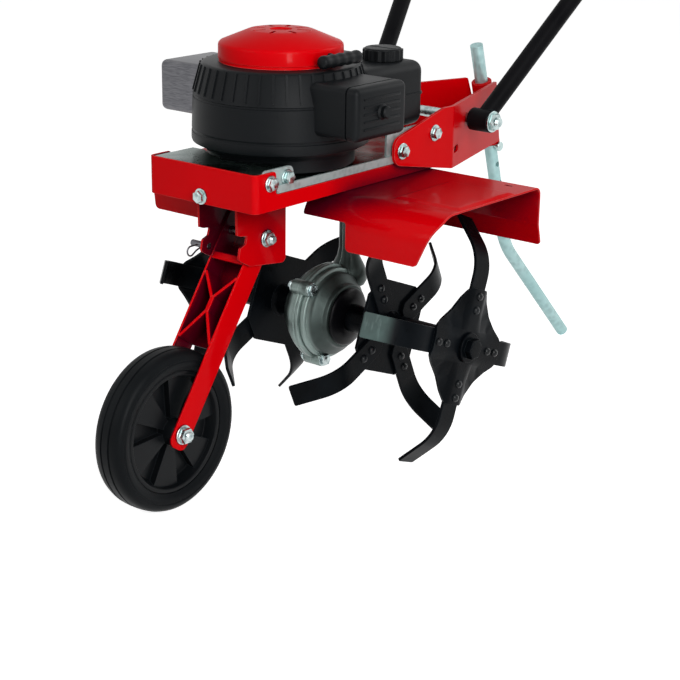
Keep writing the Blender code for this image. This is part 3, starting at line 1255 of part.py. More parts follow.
def handle_bracket(tiller):
    """Two plates that fold in towards the drag bar's socket, with the handlebar's pivot rod."""
    middle = HANDLE_PLATE_INNER + HANDLE_SHEET / 2
    wall = SOCKET_RADIUS
    heel = drag_axis_point(HANDLE_LOW_REAR)[0]
    lean = math.atan2(middle - wall, heel - HANDLE_BEND_AT)
    profile = Bends((middle, 0.0), HALF_TURN)
    profile.straight(HANDLE_BEND_AT).bend(HANDLE_BEND_RADIUS, lean)
    reach = (heel - profile.point.y) / math.cos(lean)
    profile.straight(reach)
    end = profile.length
    top_end = end - (heel - drag_axis_point(HANDLE_TOP)[0]) / math.cos(lean)
    nose, nose_height = LUG_BOLTS_REAR[0]
    front, drop = nose - HANDLE_NOSE_RADIUS, HANDLE_NOSE_RADIUS
    bow = drop - HANDLE_NOSE_EASE
    outline = rounded([
        (nose_height - drop, front, bow), (nose_height + drop, front, bow),
        (HANDLE_TOP, HANDLE_BEND_AT - HANDLE_CROWN_AHEAD, HANDLE_CROWN_RADIUS),
        (HANDLE_TOP, top_end, 0), (HANDLE_LOW_REAR, end, 0), (HANDLE_LOW, HANDLE_BEND_AT, 0),
    ], 0, 3)
    socket_top = drag_axis_point(SOCKET_LOW_END + SOCKET_LENGTH * math.cos(DRAG_TURN))
    socket = drum(SOCKET_RADIUS, -SOCKET_LENGTH, 0, 16)
    lean_back = Matrix.Rotation(DRAG_TURN, 4, "X")
    item = tiller.add("handle_bracket", socket, "chassis", RED_PAINT, (0, *socket_top), lean_back)
    for _, side in SIDES:
        def fold(across, along, _, side=side):
            point, _ = profile.at(along)
            return (side * point.x, point.y, across)

        tiller.join(item, folded(outline, profile.stations(3), fold, HANDLE_SHEET))
        for along, height in LUG_BOLTS_REAR:
            tiller.join(item, bolt_head(), (side * (middle + HANDLE_SHEET / 2), along, height), outward(side))
            spacer = drum(WASHER_RADIUS, LUG_OUTER + CLEARANCE, HANDLE_PLATE_INNER + 1, HEX_STEPS)
            tiller.join(item, spacer, (0, along, height), outward(side))
    bore = drum(DRAG_RADIUS + CLEARANCE, -2 * SOCKET_LENGTH, SOCKET_LENGTH, 16)
    tiller.shape(item, bore, at=(0, *socket_top), turn=lean_back)
    pivot = (0, HANDLE_PIVOT_ALONG, HANDLE_PIVOT_ABOVE)
    half = HANDLE_EYE_INNER + HANDLE_EYE_WIDTH
    tiller.shape(item, drum(HANDLE_ROD_RADIUS + CLEARANCE, -half, half, 16), at=pivot, turn=ALONG_X)
    slot = drum(HANDLE_SLOT_RADIUS, -half, half, SMALL_STEPS)
    tiller.shape(item, slot, at=(0, HANDLE_SLOT_ALONG, HANDLE_SLOT_ABOVE), turn=ALONG_X)
    rod_bolt = through_bolt(HANDLE_ROD_RADIUS, half + CLEARANCE, HANDLE_ROD_NUT)
    tiller.add("handle_pivot_rod", rod_bolt, "chassis", ZINC, pivot, ALONG_X)


def drag_bar(tiller):
    """The bent drag bar in its socket and the pin that stops it under the socket."""
    slope = math.radians(DRAG_HEEL_TILT)
    knee = drag_axis_point(DRAG_KNEE)
    low = -SHAFT_HEIGHT + DRAG_RADIUS * math.sin(slope)
    foot = (knee[0] + (knee[1] - low) * math.tan(slope), low)
    run = eased([(0, *drag_axis_point(DRAG_TOP)), (0, *knee), (0, *foot)], DRAG_KNEE_RADIUS, 6)
    item = tiller.add("drag_bar", rod(run, DRAG_RADIUS, 2), "drag", GALVANISED)
    under = DRAG_PIN_RADIUS + CLEARANCE
    for k in range(DRAG_HOLES):
        down = SOCKET_LOW_END - (under + DRAG_HOLE_PITCH * k) * math.cos(DRAG_TURN)
        hole = drum(DRAG_PIN_RADIUS + CLEARANCE, -2 * DRAG_RADIUS, 2 * DRAG_RADIUS, 8)
        tiller.shape(item, hole, at=(0, *drag_axis_point(down)), turn=ALONG_X)
    down = SOCKET_LOW_END - under * math.cos(DRAG_TURN)
    head = SOCKET_RADIUS + CLEARANCE
    pin = turned([
        (0, head + 4), (DRAG_PIN_RADIUS + 3, head + 4), (DRAG_PIN_RADIUS + 3, head), (DRAG_PIN_RADIUS, head),
        (DRAG_PIN_RADIUS, -head - 8), (0, -head - 8),
    ], SMALL_STEPS)
    tiller.add("drag_pin", pin, "drag", ZINC, (0, *drag_axis_point(down)), ALONG_X)


def handlebar(tiller):
    """The welded handlebar on its pivot rod, its grips and the throttle lever."""
    pivot = (0, HANDLE_PIVOT_ALONG, HANDLE_PIVOT_ABOVE)
    eye_middle = HANDLE_EYE_INNER + HANDLE_EYE_WIDTH / 2
    across, rear, height = HANDLE_END
    stop = rear - GRIP_CAP - CLEARANCE
    item = None
    for _, side in SIDES:
        points = [(eye_middle, *pivot[1:]), HANDLE_KNEE, (across, rear - HANDLE_REACH, height), (across, stop, height)]
        run = eased([(side * x, y, z) for x, y, z in points], HANDLE_TURN_RADIUS, 3)
        tube = rod(run, HANDLE_TUBE_RADIUS, 2)
        if item is None:
            item = tiller.add("handlebar", tube, "handle", BLACK_PAINT)
        else:
            tiller.join(item, tube)
    knee = Vector(HANDLE_KNEE)
    root = Vector((eye_middle, *pivot[1:]))
    brace = root.lerp(knee, BRACE_SHARE)
    tiller.join(item, rod([(-brace.x, brace.y, brace.z), tuple(brace)], BRACE_RADIUS, 2))
    for _, side in SIDES:
        eye = drum(HANDLE_EYE_RADIUS, HANDLE_EYE_INNER, HANDLE_EYE_INNER + HANDLE_EYE_WIDTH, BORE_STEPS)
        tiller.join(item, eye, pivot, outward(side))
    reach = HANDLE_EYE_INNER + 2 * HANDLE_EYE_WIDTH
    tiller.shape(item, drum(HANDLE_ROD_RADIUS + CLEARANCE, -reach, reach, 16), at=pivot, turn=ALONG_X)
    for name, side in SIDES:
        hole = (HANDLE_TUBE_RADIUS + CLEARANCE) / math.cos(math.pi / SMALL_STEPS)
        inner = GRIP_CAP
        profile = [(0, 0), (GRIP_RADIUS - 2, 0), (GRIP_RADIUS, -2)]
        pitch = (GRIP_LENGTH - 4) / GRIP_RIBS
        for k in range(1, GRIP_RIBS):
            level = -2 - pitch * k
            profile += [(GRIP_RADIUS, level + 2), (GRIP_RADIUS - 1.5, level), (GRIP_RADIUS, level - 2)]
        profile += [(GRIP_RADIUS, 2 - GRIP_LENGTH), (GRIP_RADIUS - 2, -GRIP_LENGTH), (hole, -GRIP_LENGTH), (hole, -inner), (0, -inner)]
        backward = Euler((-HALF_TURN, 0.0, 0.0))
        tiller.add("grip_" + name, turned(profile, SMALL_STEPS), "handle", RUBBER, (side * across, rear, height), backward)
    hinge = (-across + HANDLE_TUBE_RADIUS, rear - GRIP_LENGTH - LEVER_AHEAD, height)
    lever = rounded([
        (-LEVER_WIDTH / 2, -LEVER_WIDTH / 2), (LEVER_LENGTH, -LEVER_WIDTH / 2 - LEVER_DROP), (LEVER_LENGTH, -LEVER_DROP + 2),
        (LEVER_LENGTH / 3, LEVER_WIDTH / 2 - LEVER_DROP / 3), (-LEVER_WIDTH / 2, LEVER_WIDTH / 2),
    ], 4, 3)
    blade = sheet(lever, LEVER_SHEET)
    arm = tiller.add("throttle_lever", blade, "throttle", BLACK_PLASTIC, (hinge[0] + LEVER_STAND_OFF, *hinge[1:]), FACING_X)
    hub = drum(LEVER_WIDTH / 2 + 1, CLEARANCE, LEVER_STAND_OFF + LEVER_SHEET / 2 + 1, SMALL_STEPS)
    tiller.join(arm, hub, hinge, ALONG_X)


def main():
    """Build every body and its pieces."""
    tiller = Assembly()
    tiller.body("chassis")
    tiller.body("fork", PIVOT)
    tiller.body("wheel", AXLE, on="fork")
    tiller.body("lock_pin", (-BRACKET_OUTER, -LOCK_PIN_AHEAD, LOCK_PIN_ABOVE))
    tiller.body("rotor")
    tiller.body("worm", WORM_AXIS)
    tiller.body("crank", CRANK_AXIS)
    tiller.body("starter", (RECOIL_RADIUS, -CRANK_AHEAD, ENGINE_TOP))
    tiller.body("cap", (TANK_NECK_ACROSS, TANK_NECK_ALONG, TANK_TOP))
    tiller.body("drag", (0, *drag_axis_point(SOCKET_LOW_END)))
    tiller.body("handle", (0, HANDLE_PIVOT_ALONG, HANDLE_PIVOT_ABOVE))
    hinge = (HANDLE_TUBE_RADIUS - HANDLE_END[0], HANDLE_END[1] - GRIP_LENGTH - LEVER_AHEAD, HANDLE_END[2])
    tiller.body("throttle", hinge, on="handle")
    chassis(tiller)
    engine_plate(tiller)
    guards(tiller)
    wheel_bracket(tiller)
    lock_pin(tiller)
    wheel_fork(tiller)
    front_wheel(tiller)
    gearbox(tiller)
    drive(tiller)
    tine_rotor(tiller)
    engine(tiller)
    handle_bracket(tiller)
    drag_bar(tiller)
    handlebar(tiller)


main()
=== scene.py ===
"""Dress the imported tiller: painted sheet metal, cast gearbox, bent tines, wheel, engine and handlebar.

Sizes are in millimetres from the middle of the tine shaft, with the front towards -Y, the machine's left
towards +X and Z up. Every form is shaped there and put into the frame's metres when it becomes a piece.
"""

from __future__ import annotations

import json
import logging
import math
from collections.abc import Callable, Iterable, Sequence
from dataclasses import dataclass, field, replace
from enum import Enum

import bmesh
import bpy
from mathutils import Matrix, Vector

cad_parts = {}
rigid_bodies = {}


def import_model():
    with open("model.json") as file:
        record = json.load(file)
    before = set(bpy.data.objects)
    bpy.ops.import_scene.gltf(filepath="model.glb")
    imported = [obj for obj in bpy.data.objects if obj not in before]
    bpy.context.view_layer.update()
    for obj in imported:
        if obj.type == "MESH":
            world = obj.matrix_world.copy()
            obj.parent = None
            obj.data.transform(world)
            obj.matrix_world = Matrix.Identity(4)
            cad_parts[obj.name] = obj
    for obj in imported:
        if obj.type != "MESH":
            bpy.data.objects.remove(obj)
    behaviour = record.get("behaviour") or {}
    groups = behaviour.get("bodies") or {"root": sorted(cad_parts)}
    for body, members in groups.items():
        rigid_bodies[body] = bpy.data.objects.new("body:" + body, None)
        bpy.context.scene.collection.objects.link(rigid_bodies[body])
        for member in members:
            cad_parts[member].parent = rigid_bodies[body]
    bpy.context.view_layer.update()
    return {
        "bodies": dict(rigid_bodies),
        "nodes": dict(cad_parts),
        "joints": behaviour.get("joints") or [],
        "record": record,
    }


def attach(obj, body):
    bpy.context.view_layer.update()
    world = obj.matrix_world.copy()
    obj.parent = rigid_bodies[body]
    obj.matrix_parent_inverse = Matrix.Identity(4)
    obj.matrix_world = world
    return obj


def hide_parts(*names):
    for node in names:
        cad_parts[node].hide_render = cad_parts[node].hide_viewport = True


log = logging.getLogger("tiller")

MILLIMETRE = 0.001
SHAFT_ALONG = -0.2535
SHAFT_HEIGHT = 0.178
TO_FRAME = Matrix.Translation((0.0, SHAFT_ALONG, SHAFT_HEIGHT)) @ Matrix.Scale(MILLIMETRE, 4)
QUARTER = math.pi / 2
FLUSH = 0.3
EDGE_WIDTH = 0.0016

Point2 = tuple[float, float]
Point3 = tuple[float, float, float]
Colour = tuple[float, float, float]


class Side(Enum):
    """The machine's two sides, with the sign of X on each."""

    LEFT = 1
    RIGHT = -1

    @property
    def word(self) -> str:
        """The side's name as the nodes spell it."""
        return self.name.lower()

    @property
    def out(self) -> Facing:
        """The direction that leaves the machine on this side."""
        return Facing.LEFT if self is Side.LEFT else Facing.RIGHT


class Facing(Enum):
    """Turns that point a form's Z axis along a direction of the machine."""

    LEFT = (QUARTER, "Y")
    RIGHT = (-QUARTER, "Y")
    FRONT = (QUARTER, "X")
    REAR = (-QUARTER, "X")

    @property
    def turn(self) -> Matrix:
        """The rotation for this direction."""
        angle, axis = self.value
        return Matrix.Rotation(angle, 4, axis)


STANDING = Matrix.Rotation(QUARTER, 4, "Z") @ Matrix.Rotation(QUARTER, 4, "X")


class Shade:
    """A shader socket whose operators add Math nodes to its board."""

    def __init__(self, board: Board, socket: bpy.types.NodeSocket) -> None:
        """Hold a socket of a board."""
        self.board = board
        self.socket = socket

    def __add__(self, other: Shade | float) -> Shade:
        """Sum."""
        return self.board.math("ADD", self, other)

    __radd__ = __add__

    def __mul__(self, other: Shade | float) -> Shade:
        """Product."""
        return self.board.math("MULTIPLY", self, other)

    __rmul__ = __mul__

    def __sub__(self, other: Shade | float) -> Shade:
        """Difference."""
        return self.board.math("SUBTRACT", self, other)

    def __rsub__(self, other: float) -> Shade:
        """Difference from a number."""
        return self.board.math("SUBTRACT", other, self)

    def between(self, low: float, high: float) -> Shade:
        """Rise smoothly from 0 at low to 1 at high.

        Args:
            low: value that gives 0.
            high: value that gives 1.

        Returns:
            The eased share.
        """
        made = self.board.node(
            "ShaderNodeMapRange", {"interpolation_type": "SMOOTHSTEP", "clamp": True},
            {"Value": self, "From Min": low, "From Max": high, "To Min": 0.0, "To Max": 1.0},
        )
        return self.board.out(made, "Result")


class Board:
    """The node tree of a material or a world, with one way to add any node."""

    def __init__(self, owner: bpy.types.Material | bpy.types.World) -> None:
        """Open the owner's node tree.

        Args:
            owner: the material or world.
        """
        owner.use_nodes = True
        self.owner = owner
        self.tree = owner.node_tree

    @property
    def shader(self) -> bpy.types.Node:
        """The material's main shader."""
        return self.tree.nodes["Principled BSDF"]

    @property
    def place(self) -> Shade:
        """Object coordinates."""
        return self.out(self.node("ShaderNodeTexCoord", {}, {}), "Object")

    def seen(self) -> Shade:
        """1 where the camera, a reflection or glass looks, and 0 for light.

        Returns:
            The share.
        """
        path = self.node("ShaderNodeLightPath", {}, {})
        gloss, glass = self.out(path, "Is Glossy Ray"), self.out(path, "Is Transmission Ray")
        mirrored = self.math("MAXIMUM", gloss, glass)
        return self.math("MAXIMUM", self.out(path, "Is Camera Ray"), mirrored)

    def node(self, kind: str, settings: dict, sockets: dict) -> bpy.types.Node:
        """Add a node.

        Args:
            kind: the node's type name.
            settings: its properties, set first.
            sockets: input name to a number, colour or Shade.

        Returns:
            The new node.
        """
        made = self.tree.nodes.new(kind)
        for key, value in settings.items():
            setattr(made, key, value)
        for key, value in sockets.items():
            self.feed(made.inputs[key], value)
        return made

    def feed(self, socket: bpy.types.NodeSocket, value: Shade | float | Colour) -> None:
        """Link or set one input.

        Args:
            socket: the input.
            value: a link, number or colour.
        """
        if isinstance(value, Shade):
            self.tree.links.new(value.socket, socket)
        elif isinstance(value, tuple) and len(value) == 3 and socket.type == "RGBA":
            socket.default_value = (*value, 1.0)
        else:
            socket.default_value = value

    def out(self, node: bpy.types.Node, name: str | int = 0) -> Shade:
        """Wrap one output of a node."""
        return Shade(self, node.outputs[name])

    def math(self, operation: str, first: Shade | float, second: Shade | float) -> Shade:
        """Add a Math node for two values."""
        made = self.node("ShaderNodeMath", {"operation": operation}, {0: first, 1: second})
        return self.out(made)

    def stretched(self, stretch: Point3) -> Shade:
        """Object coordinates scaled along each axis."""
        return self.out(self.node("ShaderNodeMapping", {}, {"Vector": self.place, "Scale": stretch}))

    def noise(self, scale: float, detail: float = 3.0, stretch: Point3 | None = None) -> Shade:
        """Cloudy noise.

        Args:
            scale: bumps per metre.
            detail: layers of finer noise.
            stretch: scale of each axis, for brushed or streaked noise.

        Returns:
            The noise's value from 0 to 1.
        """
        where = self.place if stretch is None else self.stretched(stretch)
        made = self.node("ShaderNodeTexNoise", {}, {"Vector": where, "Scale": scale, "Detail": detail})
        return self.out(made, 0)

    def cells(self, scale: float) -> Shade:
        """Distance to the nearest seed of a scatter of cells."""
        made = self.node("ShaderNodeTexVoronoi", {}, {"Vector": self.place, "Scale": scale})
        return self.out(made, "Distance")

    def edges(self) -> Shade:
        """How close a point lies to an edge, from how far its rounded normal leaves its own.

        Returns:
            0 on a face and 1 on an edge.
        """
        round_off = self.out(self.node("ShaderNodeBevel", {"samples": 6}, {"Radius": EDGE_WIDTH}))
        plain = self.out(self.node("ShaderNodeNewGeometry", {}, {}), "Normal")
        match = self.node("ShaderNodeVectorMath", {"operation": "DOT_PRODUCT"}, {0: round_off, 1: plain})
        return (1.0 - self.out(match, "Value")).between(0.03, 0.30)

    def recess(self, depth: float, alone: bool = True) -> Shade:
        """How deep a point lies in a corner, of its own piece alone or among its neighbours.

        Args:
            depth: how far it looks, in metres.
            alone: whether other pieces are left out.

        Returns:
            0 in the open and 1 in a corner.
        """
        settings = {"samples": 8, "only_local": alone}
        open_sky = self.node("ShaderNodeAmbientOcclusion", settings, {"Distance": depth})
        return 1.0 - self.out(open_sky, "AO")

    def mix(self, share: Shade, low: Shade | Colour, high: Shade | Colour) -> Shade:
        """Blend two colours.

        Args:
            share: 0 for low and 1 for high.
            low: first colour.
            high: second colour.

        Returns:
            The blended colour.
        """
        made = self.node("ShaderNodeMix", {"data_type": "RGBA"}, {0: share, 6: low, 7: high})
        return self.out(made, 2)

    def bump(self, height: Shade, strength: float, depth: float) -> None:
        """Raise the surface by a height.

        Args:
            height: the pattern, 0 to 1.
            strength: how strongly it shows.
            depth: its depth in metres.
        """
        made = self.node("ShaderNodeBump", {}, {"Height": height, "Strength": strength, "Distance": depth})
        self.set(Normal=self.out(made))

    def set(self, **inputs: Shade | float | Colour) -> None:
        """Feed the shader's sockets, whose names are written with underscores."""
        for key, value in inputs.items():
            self.feed(self.shader.inputs[key.replace("_", " ")], value)


@dataclass(frozen=True)
class Finish:
    """What every finish has: its name and the record's material slot."""

    name: str
    slot: str
    colour: Colour
    shaded: Colour
    rough: float

    def make(self) -> bpy.types.Material:
        """Build the material.

        Returns:
            The new material.
        """
        board = Board(bpy.data.materials.new(self.name))
        self.dress(board)
        return board.owner

    def dress(self, board: Board) -> None:
        """Fill the board with this finish's own nodes."""
        raise NotImplementedError


@dataclass(frozen=True)
class GlossPaint(Finish):
    """Sprayed gloss paint: cloudiness, orange peel, scuffs, a painted edge highlight and painted corner
    shade.
    """

    # The edge colour is a painted highlight along the edges.
    edge: Colour = (0.95, 0.24, 0.22)
    # Painted shade in corners: the near-black red they darken to, how far the occlusion looks, whether other
    # pieces count, and the occlusion range it spans.
    painted_shade: Colour = (0.030, 0.0, 0.008)
    shade_reach: float = 0.060
    alone: bool = True
    thin: Point2 = (0.25, 0.75)
    peel: float = 520.0
    coat: float = 0.06
    gloss: float = 0.02

    def dress(self, board: Board) -> None:
        """Paint with cloud and scuffs, a painted highlight along the edges and painted shade in the corners.

        Args:
            board: the material's nodes.
        """
        cloud = board.noise(7.0, 2.0).between(0.3, 0.7)
        scuff = board.noise(60.0, 6.0, (1.0, 7.0, 5.0)).between(0.66, 0.78)
        # Painted highlight: a pale colour along the edges, broken up by noise.
        worn = board.edges() * board.noise(35.0, 4.0).between(0.25, 0.55)
        base = board.mix(cloud, self.shaded, self.colour)
        base = board.mix(worn * 0.7, base, self.edge)
        # Painted shade: ambient occlusion darkens corners, and places near other pieces, towards a
        # near-black red.
        thin = board.recess(self.shade_reach, self.alone).between(*self.thin)
        base = board.mix(thin * 0.94, base, self.painted_shade)
        board.set(
            Base_Color=base, Roughness=self.rough + 0.07 * cloud + 0.12 * scuff,
            Specular_IOR_Level=self.gloss, Coat_Weight=self.coat, Coat_Roughness=0.05,
        )
        board.bump(board.noise(self.peel, 2.0), 0.06, 0.0002)


@dataclass(frozen=True)
class SatinPaint(Finish):
    """Dipped satin black: mottled, rubbed in streaks, lighter on its edges, with a painted reflection on one
    blade's tip.
    """

    edge: Colour = (0.045, 0.058, 0.064)
    # The next two fields give a painted reflection: its teal-grey colour, and the span of X over which it
    # fades out along a blade's tip.
    reflection_colour: Colour = (0.125, 0.195, 0.182)
    reflection_tip: Point2 = (0.0, 0.0)
    grain: float = 380.0
    gloss: float = 0.035

    def dress(self, board: Board) -> None:
        """Paint with mottle, rubbed streaks and grain.

        Args:
            board: the material's nodes.
        """
        mottle = board.noise(22.0, 4.0).between(0.35, 0.7)
        rubbed = board.noise(45.0, 5.0, (6.0, 1.0, 1.0)).between(0.55, 0.75)
        base = board.mix(mottle, self.shaded, self.colour)
        base = board.mix(board.edges() * 0.6, base, self.edge)
        # Painted reflection: one blade's tip is lightened towards a teal grey, streaked by the mottle and
        # rubbing.
        if self.reflection_tip[1] > 0:
            across = board.out(board.node("ShaderNodeSeparateXYZ", {}, {0: board.place}), 0)
            tip = 1.0 - across.between(*self.reflection_tip)
            base = board.mix(tip * (0.45 + 0.30 * mottle + 0.25 * rubbed), base, self.reflection_colour)
        rough = self.rough + 0.14 * mottle - 0.10 * rubbed
        board.set(Base_Color=base, Roughness=rough, Specular_IOR_Level=self.gloss)
        board.bump(board.noise(self.grain, 3.0), 0.16, 0.0003)


@dataclass(frozen=True)
class Plated(Finish):
    """Zinc plating: metallic, with pale crystals and a cool cast that drifts over the surface."""

    cast: Colour = (0.40, 0.58, 0.56)
    crystals: float = 160.0
    metal: float = 0.92

    def dress(self, board: Board) -> None:
        """Plate with crystals and a drifting cast.

        Args:
            board: the material's nodes.
        """
        flakes = board.cells(self.crystals).between(0.1, 0.7)
        drift = board.noise(14.0, 3.0).between(0.35, 0.7)
        base = board.mix(flakes, self.shaded, self.colour)
        base = board.mix(drift * 0.45, base, self.cast)
        board.set(Base_Color=base, Roughness=self.rough + 0.12 * flakes, Metallic=self.metal)
        board.bump(board.noise(600.0, 2.0), 0.08, 0.0002)


@dataclass(frozen=True)
class CastMetal(Finish):
    """Die-cast metal: sandy skin, cloudy grey, painted edge highlights and a cleaner band along its joint.
    """

    band: Point2 = (0.0, 0.0)
    clean: Colour = (0.26, 0.33, 0.31)
    edge_highlight: Colour = (0.46, 0.54, 0.51)
    metal: float = 0.8

    def dress(self, board: Board) -> None:
        """Cast with a sandy skin and a painted highlight on its edges.

        Args:
            board: the material's nodes.
        """
        cloud = board.noise(18.0, 5.0).between(0.3, 0.72)
        sand = board.noise(700.0, 4.0)
        base = board.mix(cloud, self.shaded, self.colour)
        if self.band[1] > 0:
            across = board.out(board.node("ShaderNodeSeparateXYZ", {}, {0: board.place}), 0)
            joint = 1.0 - board.math("ABSOLUTE", across, 0.0).between(*self.band)
            base = board.mix(joint * (0.5 + 0.5 * cloud), base, self.clean)
        # Painted highlight: edges and ridges are lightened towards a pale grey.
        base = board.mix(board.edges() * 0.7, base, self.edge_highlight)
        board.set(Base_Color=base, Roughness=self.rough + 0.15 * cloud, Metallic=self.metal)
        board.bump(sand + 0.6 * board.noise(120.0, 3.0), 0.22, 0.0005)


@dataclass(frozen=True)
class MouldedPlastic(Finish):
    """Moulded plastic with a spark-eroded grain and a little dust."""

    grain: float = 900.0
    dust: Colour = (0.014, 0.014, 0.015)
    gloss: float = 0.10

    def dress(self, board: Board) -> None:
        """Mould with grain and dust.

        Args:
            board: the material's nodes.
        """
        dusty = board.noise(16.0, 5.0).between(0.45, 0.85)
        pits = board.cells(self.grain)
        base = board.mix(dusty * 0.35, self.colour, self.dust)
        base = board.mix(board.edges() * 0.5, base, self.shaded)
        board.set(Base_Color=base, Roughness=self.rough + 0.12 * dusty, Specular_IOR_Level=self.gloss)
        board.bump(pits, 0.14, 0.0003)


@dataclass(frozen=True)
class Rubber(Finish):
    """Vulcanised rubber: dull, with a fine skin and grey bloom."""

    bloom: Colour = (0.012, 0.014, 0.015)
    gloss: float = 0.06

    def dress(self, board: Board) -> None:
        """Dull rubber with bloom.

        Args:
            board: the material's nodes.
        """
        grey = board.noise(11.0, 4.0).between(0.4, 0.75)
        skin = board.noise(450.0, 4.0)
        board.set(
            Base_Color=board.mix(grey * 0.5, self.colour, self.bloom), Roughness=self.rough + 0.12 * grey,
            Specular_IOR_Level=self.gloss,
        )
        board.bump(skin, 0.2, 0.0004)


@dataclass(frozen=True)
class BareMetal(Finish):
    """Machined metal with fine turning streaks."""

    streak: Point3 = (1.0, 1.0, 14.0)

    def dress(self, board: Board) -> None:
        """Machine with streaks.

        Args:
            board: the material's nodes.
        """
        lines = board.noise(90.0, 4.0, self.streak).between(0.3, 0.7)
        board.set(
            Base_Color=board.mix(lines, self.shaded, self.colour), Roughness=self.rough + 0.12 * lines,
            Metallic=1.0,
        )
        board.bump(lines, 0.1, 0.0001)


# The reds below differ in how far painted shade reaches into their corners and among neighbouring pieces;
# the tray's edge colour is a paler painted highlight.
RED = GlossPaint("red_gloss", "red_paint", (0.80, 0.0, 0.003), (0.74, 0.0, 0.003), 0.30)
GUARD_RED = replace(
    RED, name="guard_gloss", shaded=(0.72, 0.0, 0.003), shade_reach=0.20, alone=False, thin=(0.12, 0.60),
    coat=0.10,
)
CHANNEL_RED = replace(
    RED, name="channel_gloss", shaded=(0.72, 0.0, 0.003), shade_reach=0.16, alone=False, thin=(0.20, 0.60),
)
TRAY_RED = replace(
    CHANNEL_RED, name="tray_gloss", colour=(0.82, 0.0, 0.003), shaded=(0.75, 0.0, 0.003),
    edge=(0.92, 0.55, 0.45), shade_reach=0.07,
)
FORK_RED = replace(
    CHANNEL_RED, name="fork_gloss", colour=(0.86, 0.0, 0.003), shaded=(0.78, 0.0, 0.003), shade_reach=0.10,
    thin=(0.25, 0.62),
)
BLACK = SatinPaint("black_satin", "black_paint", (0.0040, 0.0056, 0.0074), (0.0020, 0.0028, 0.0038), 0.26)
# This black carries the painted reflection on a blade's tip.
TIP_REFLECTION_BLACK = replace(BLACK, name="black_worn_tip", reflection_tip=(0.195, 0.207))
RIVET_BLACK = replace(
    BLACK, name="rivet_black", colour=(0.006, 0.008, 0.010), shaded=(0.003, 0.004, 0.005), rough=0.20,
    gloss=0.18,
)
TUBE_BLACK = SatinPaint(
    "handlebar_black", "black_paint", (0.007, 0.007, 0.008), (0.004, 0.004, 0.005), 0.36,
)
MOULDED = MouldedPlastic(
    "moulded_black", "black_plastic", (0.005, 0.006, 0.007), (0.022, 0.024, 0.026), 0.42,
)
RIM_BLACK = MouldedPlastic("rim_black", "black_plastic", (0.004, 0.005, 0.006), (0.028, 0.034, 0.038), 0.32)
SEAL = MouldedPlastic("seal_black", "black_plastic", (0.002, 0.002, 0.003), (0.010, 0.011, 0.012), 0.30)
TYRE = Rubber("tyre_rubber", "tyre_rubber", (0.004, 0.005, 0.006), (0.02, 0.02, 0.02), 0.40)
SOFT = Rubber("grip_rubber", "soft_rubber", (0.006, 0.006, 0.007), (0.02, 0.02, 0.02), 0.62)
ZINC = Plated("zinc_bright", "zinc", (0.48, 0.54, 0.54), (0.22, 0.27, 0.28), 0.18, metal=1.0)
ZINC_PLATE = Plated("zinc_plate", "zinc", (0.44, 0.50, 0.50), (0.33, 0.40, 0.40), 0.42, metal=0.45)
# Painted shade: this zinc is made far darker than plain zinc so that the tray's interior, on the engine
# plate and front cover, reads as shaded.
ZINC_DECK = Plated(
    "zinc_deck", "zinc", (0.14, 0.20, 0.18), (0.12, 0.17, 0.16), 0.16,
    cast=(0.10, 0.17, 0.15), crystals=24.0, metal=1.0,
)
GALVANISED = Plated(
    "galvanised_tube", "galvanised", (0.50, 0.72, 0.72), (0.36, 0.56, 0.56), 0.38, cast=(0.33, 0.60, 0.60),
    crystals=90.0, metal=0.45,
)
CAST = CastMetal("cast_case", "cast_aluminium", (0.07, 0.09, 0.084), (0.025, 0.034, 0.031), 0.36)
CASE = replace(
    CAST, name="case_with_joint", colour=(0.055, 0.073, 0.068), shaded=(0.022, 0.030, 0.028), rough=0.34,
    band=(0.0125, 0.021),
)
STEEL = BareMetal("bright_steel", "steel", (0.56, 0.57, 0.57), (0.40, 0.41, 0.42), 0.26)
DARK_STEEL = BareMetal("dark_steel", "steel", (0.16, 0.16, 0.17), (0.09, 0.09, 0.10), 0.38)
BRONZE = BareMetal("bronze", "bronze", (0.55, 0.36, 0.14), (0.40, 0.25, 0.09), 0.30)


def smooth(share: float) -> float:
    """Ease a share between 0 and 1, held at both ends."""
    held = max(0.0, min(1.0, share))
    return held * held * (3 - 2 * held)


def polar(radius: float, angle: float) -> Point2:
    """The point at a radius and an angle in radians."""
    return (radius * math.cos(angle), radius * math.sin(angle))


def oblong(low: Point2, high: Point2, radius: float = 0.0) -> list[Point2]:
    """A rectangle between two corners, all four rounded."""
    spots = (low, (high[0], low[1]), high, (low[0], high[1]))
    return rounded([(*spot, radius) for spot in spots])


def link(item: bpy.types.Object) -> None:
    """Put an object into the scene."""
    bpy.context.scene.collection.objects.link(item)


def thicken(item: bpy.types.Object, wall: float) -> None:
    """Give an open sheet its wall, half of it to each side.

    Args:
        item: the sheet.
        wall: the wall's thickness in the sheet's own units.
    """
    thick = item.modifiers.new("wall", "SOLIDIFY")
    thick.thickness = wall
    thick.offset = 0.0
    thick.use_even_offset = True


def circle(centre: Point2, radius: float, steps: int = 24) -> list[Point2]:
    """Points round a circle.

    Args:
        centre: its middle.
        radius: its radius.
        steps: number of points.

    Returns:
        The points in order.
    """
    turns = [math.tau * k / steps for k in range(steps)]
    return [(centre[0] + radius * math.cos(t), centre[1] + radius * math.sin(t)) for t in turns]


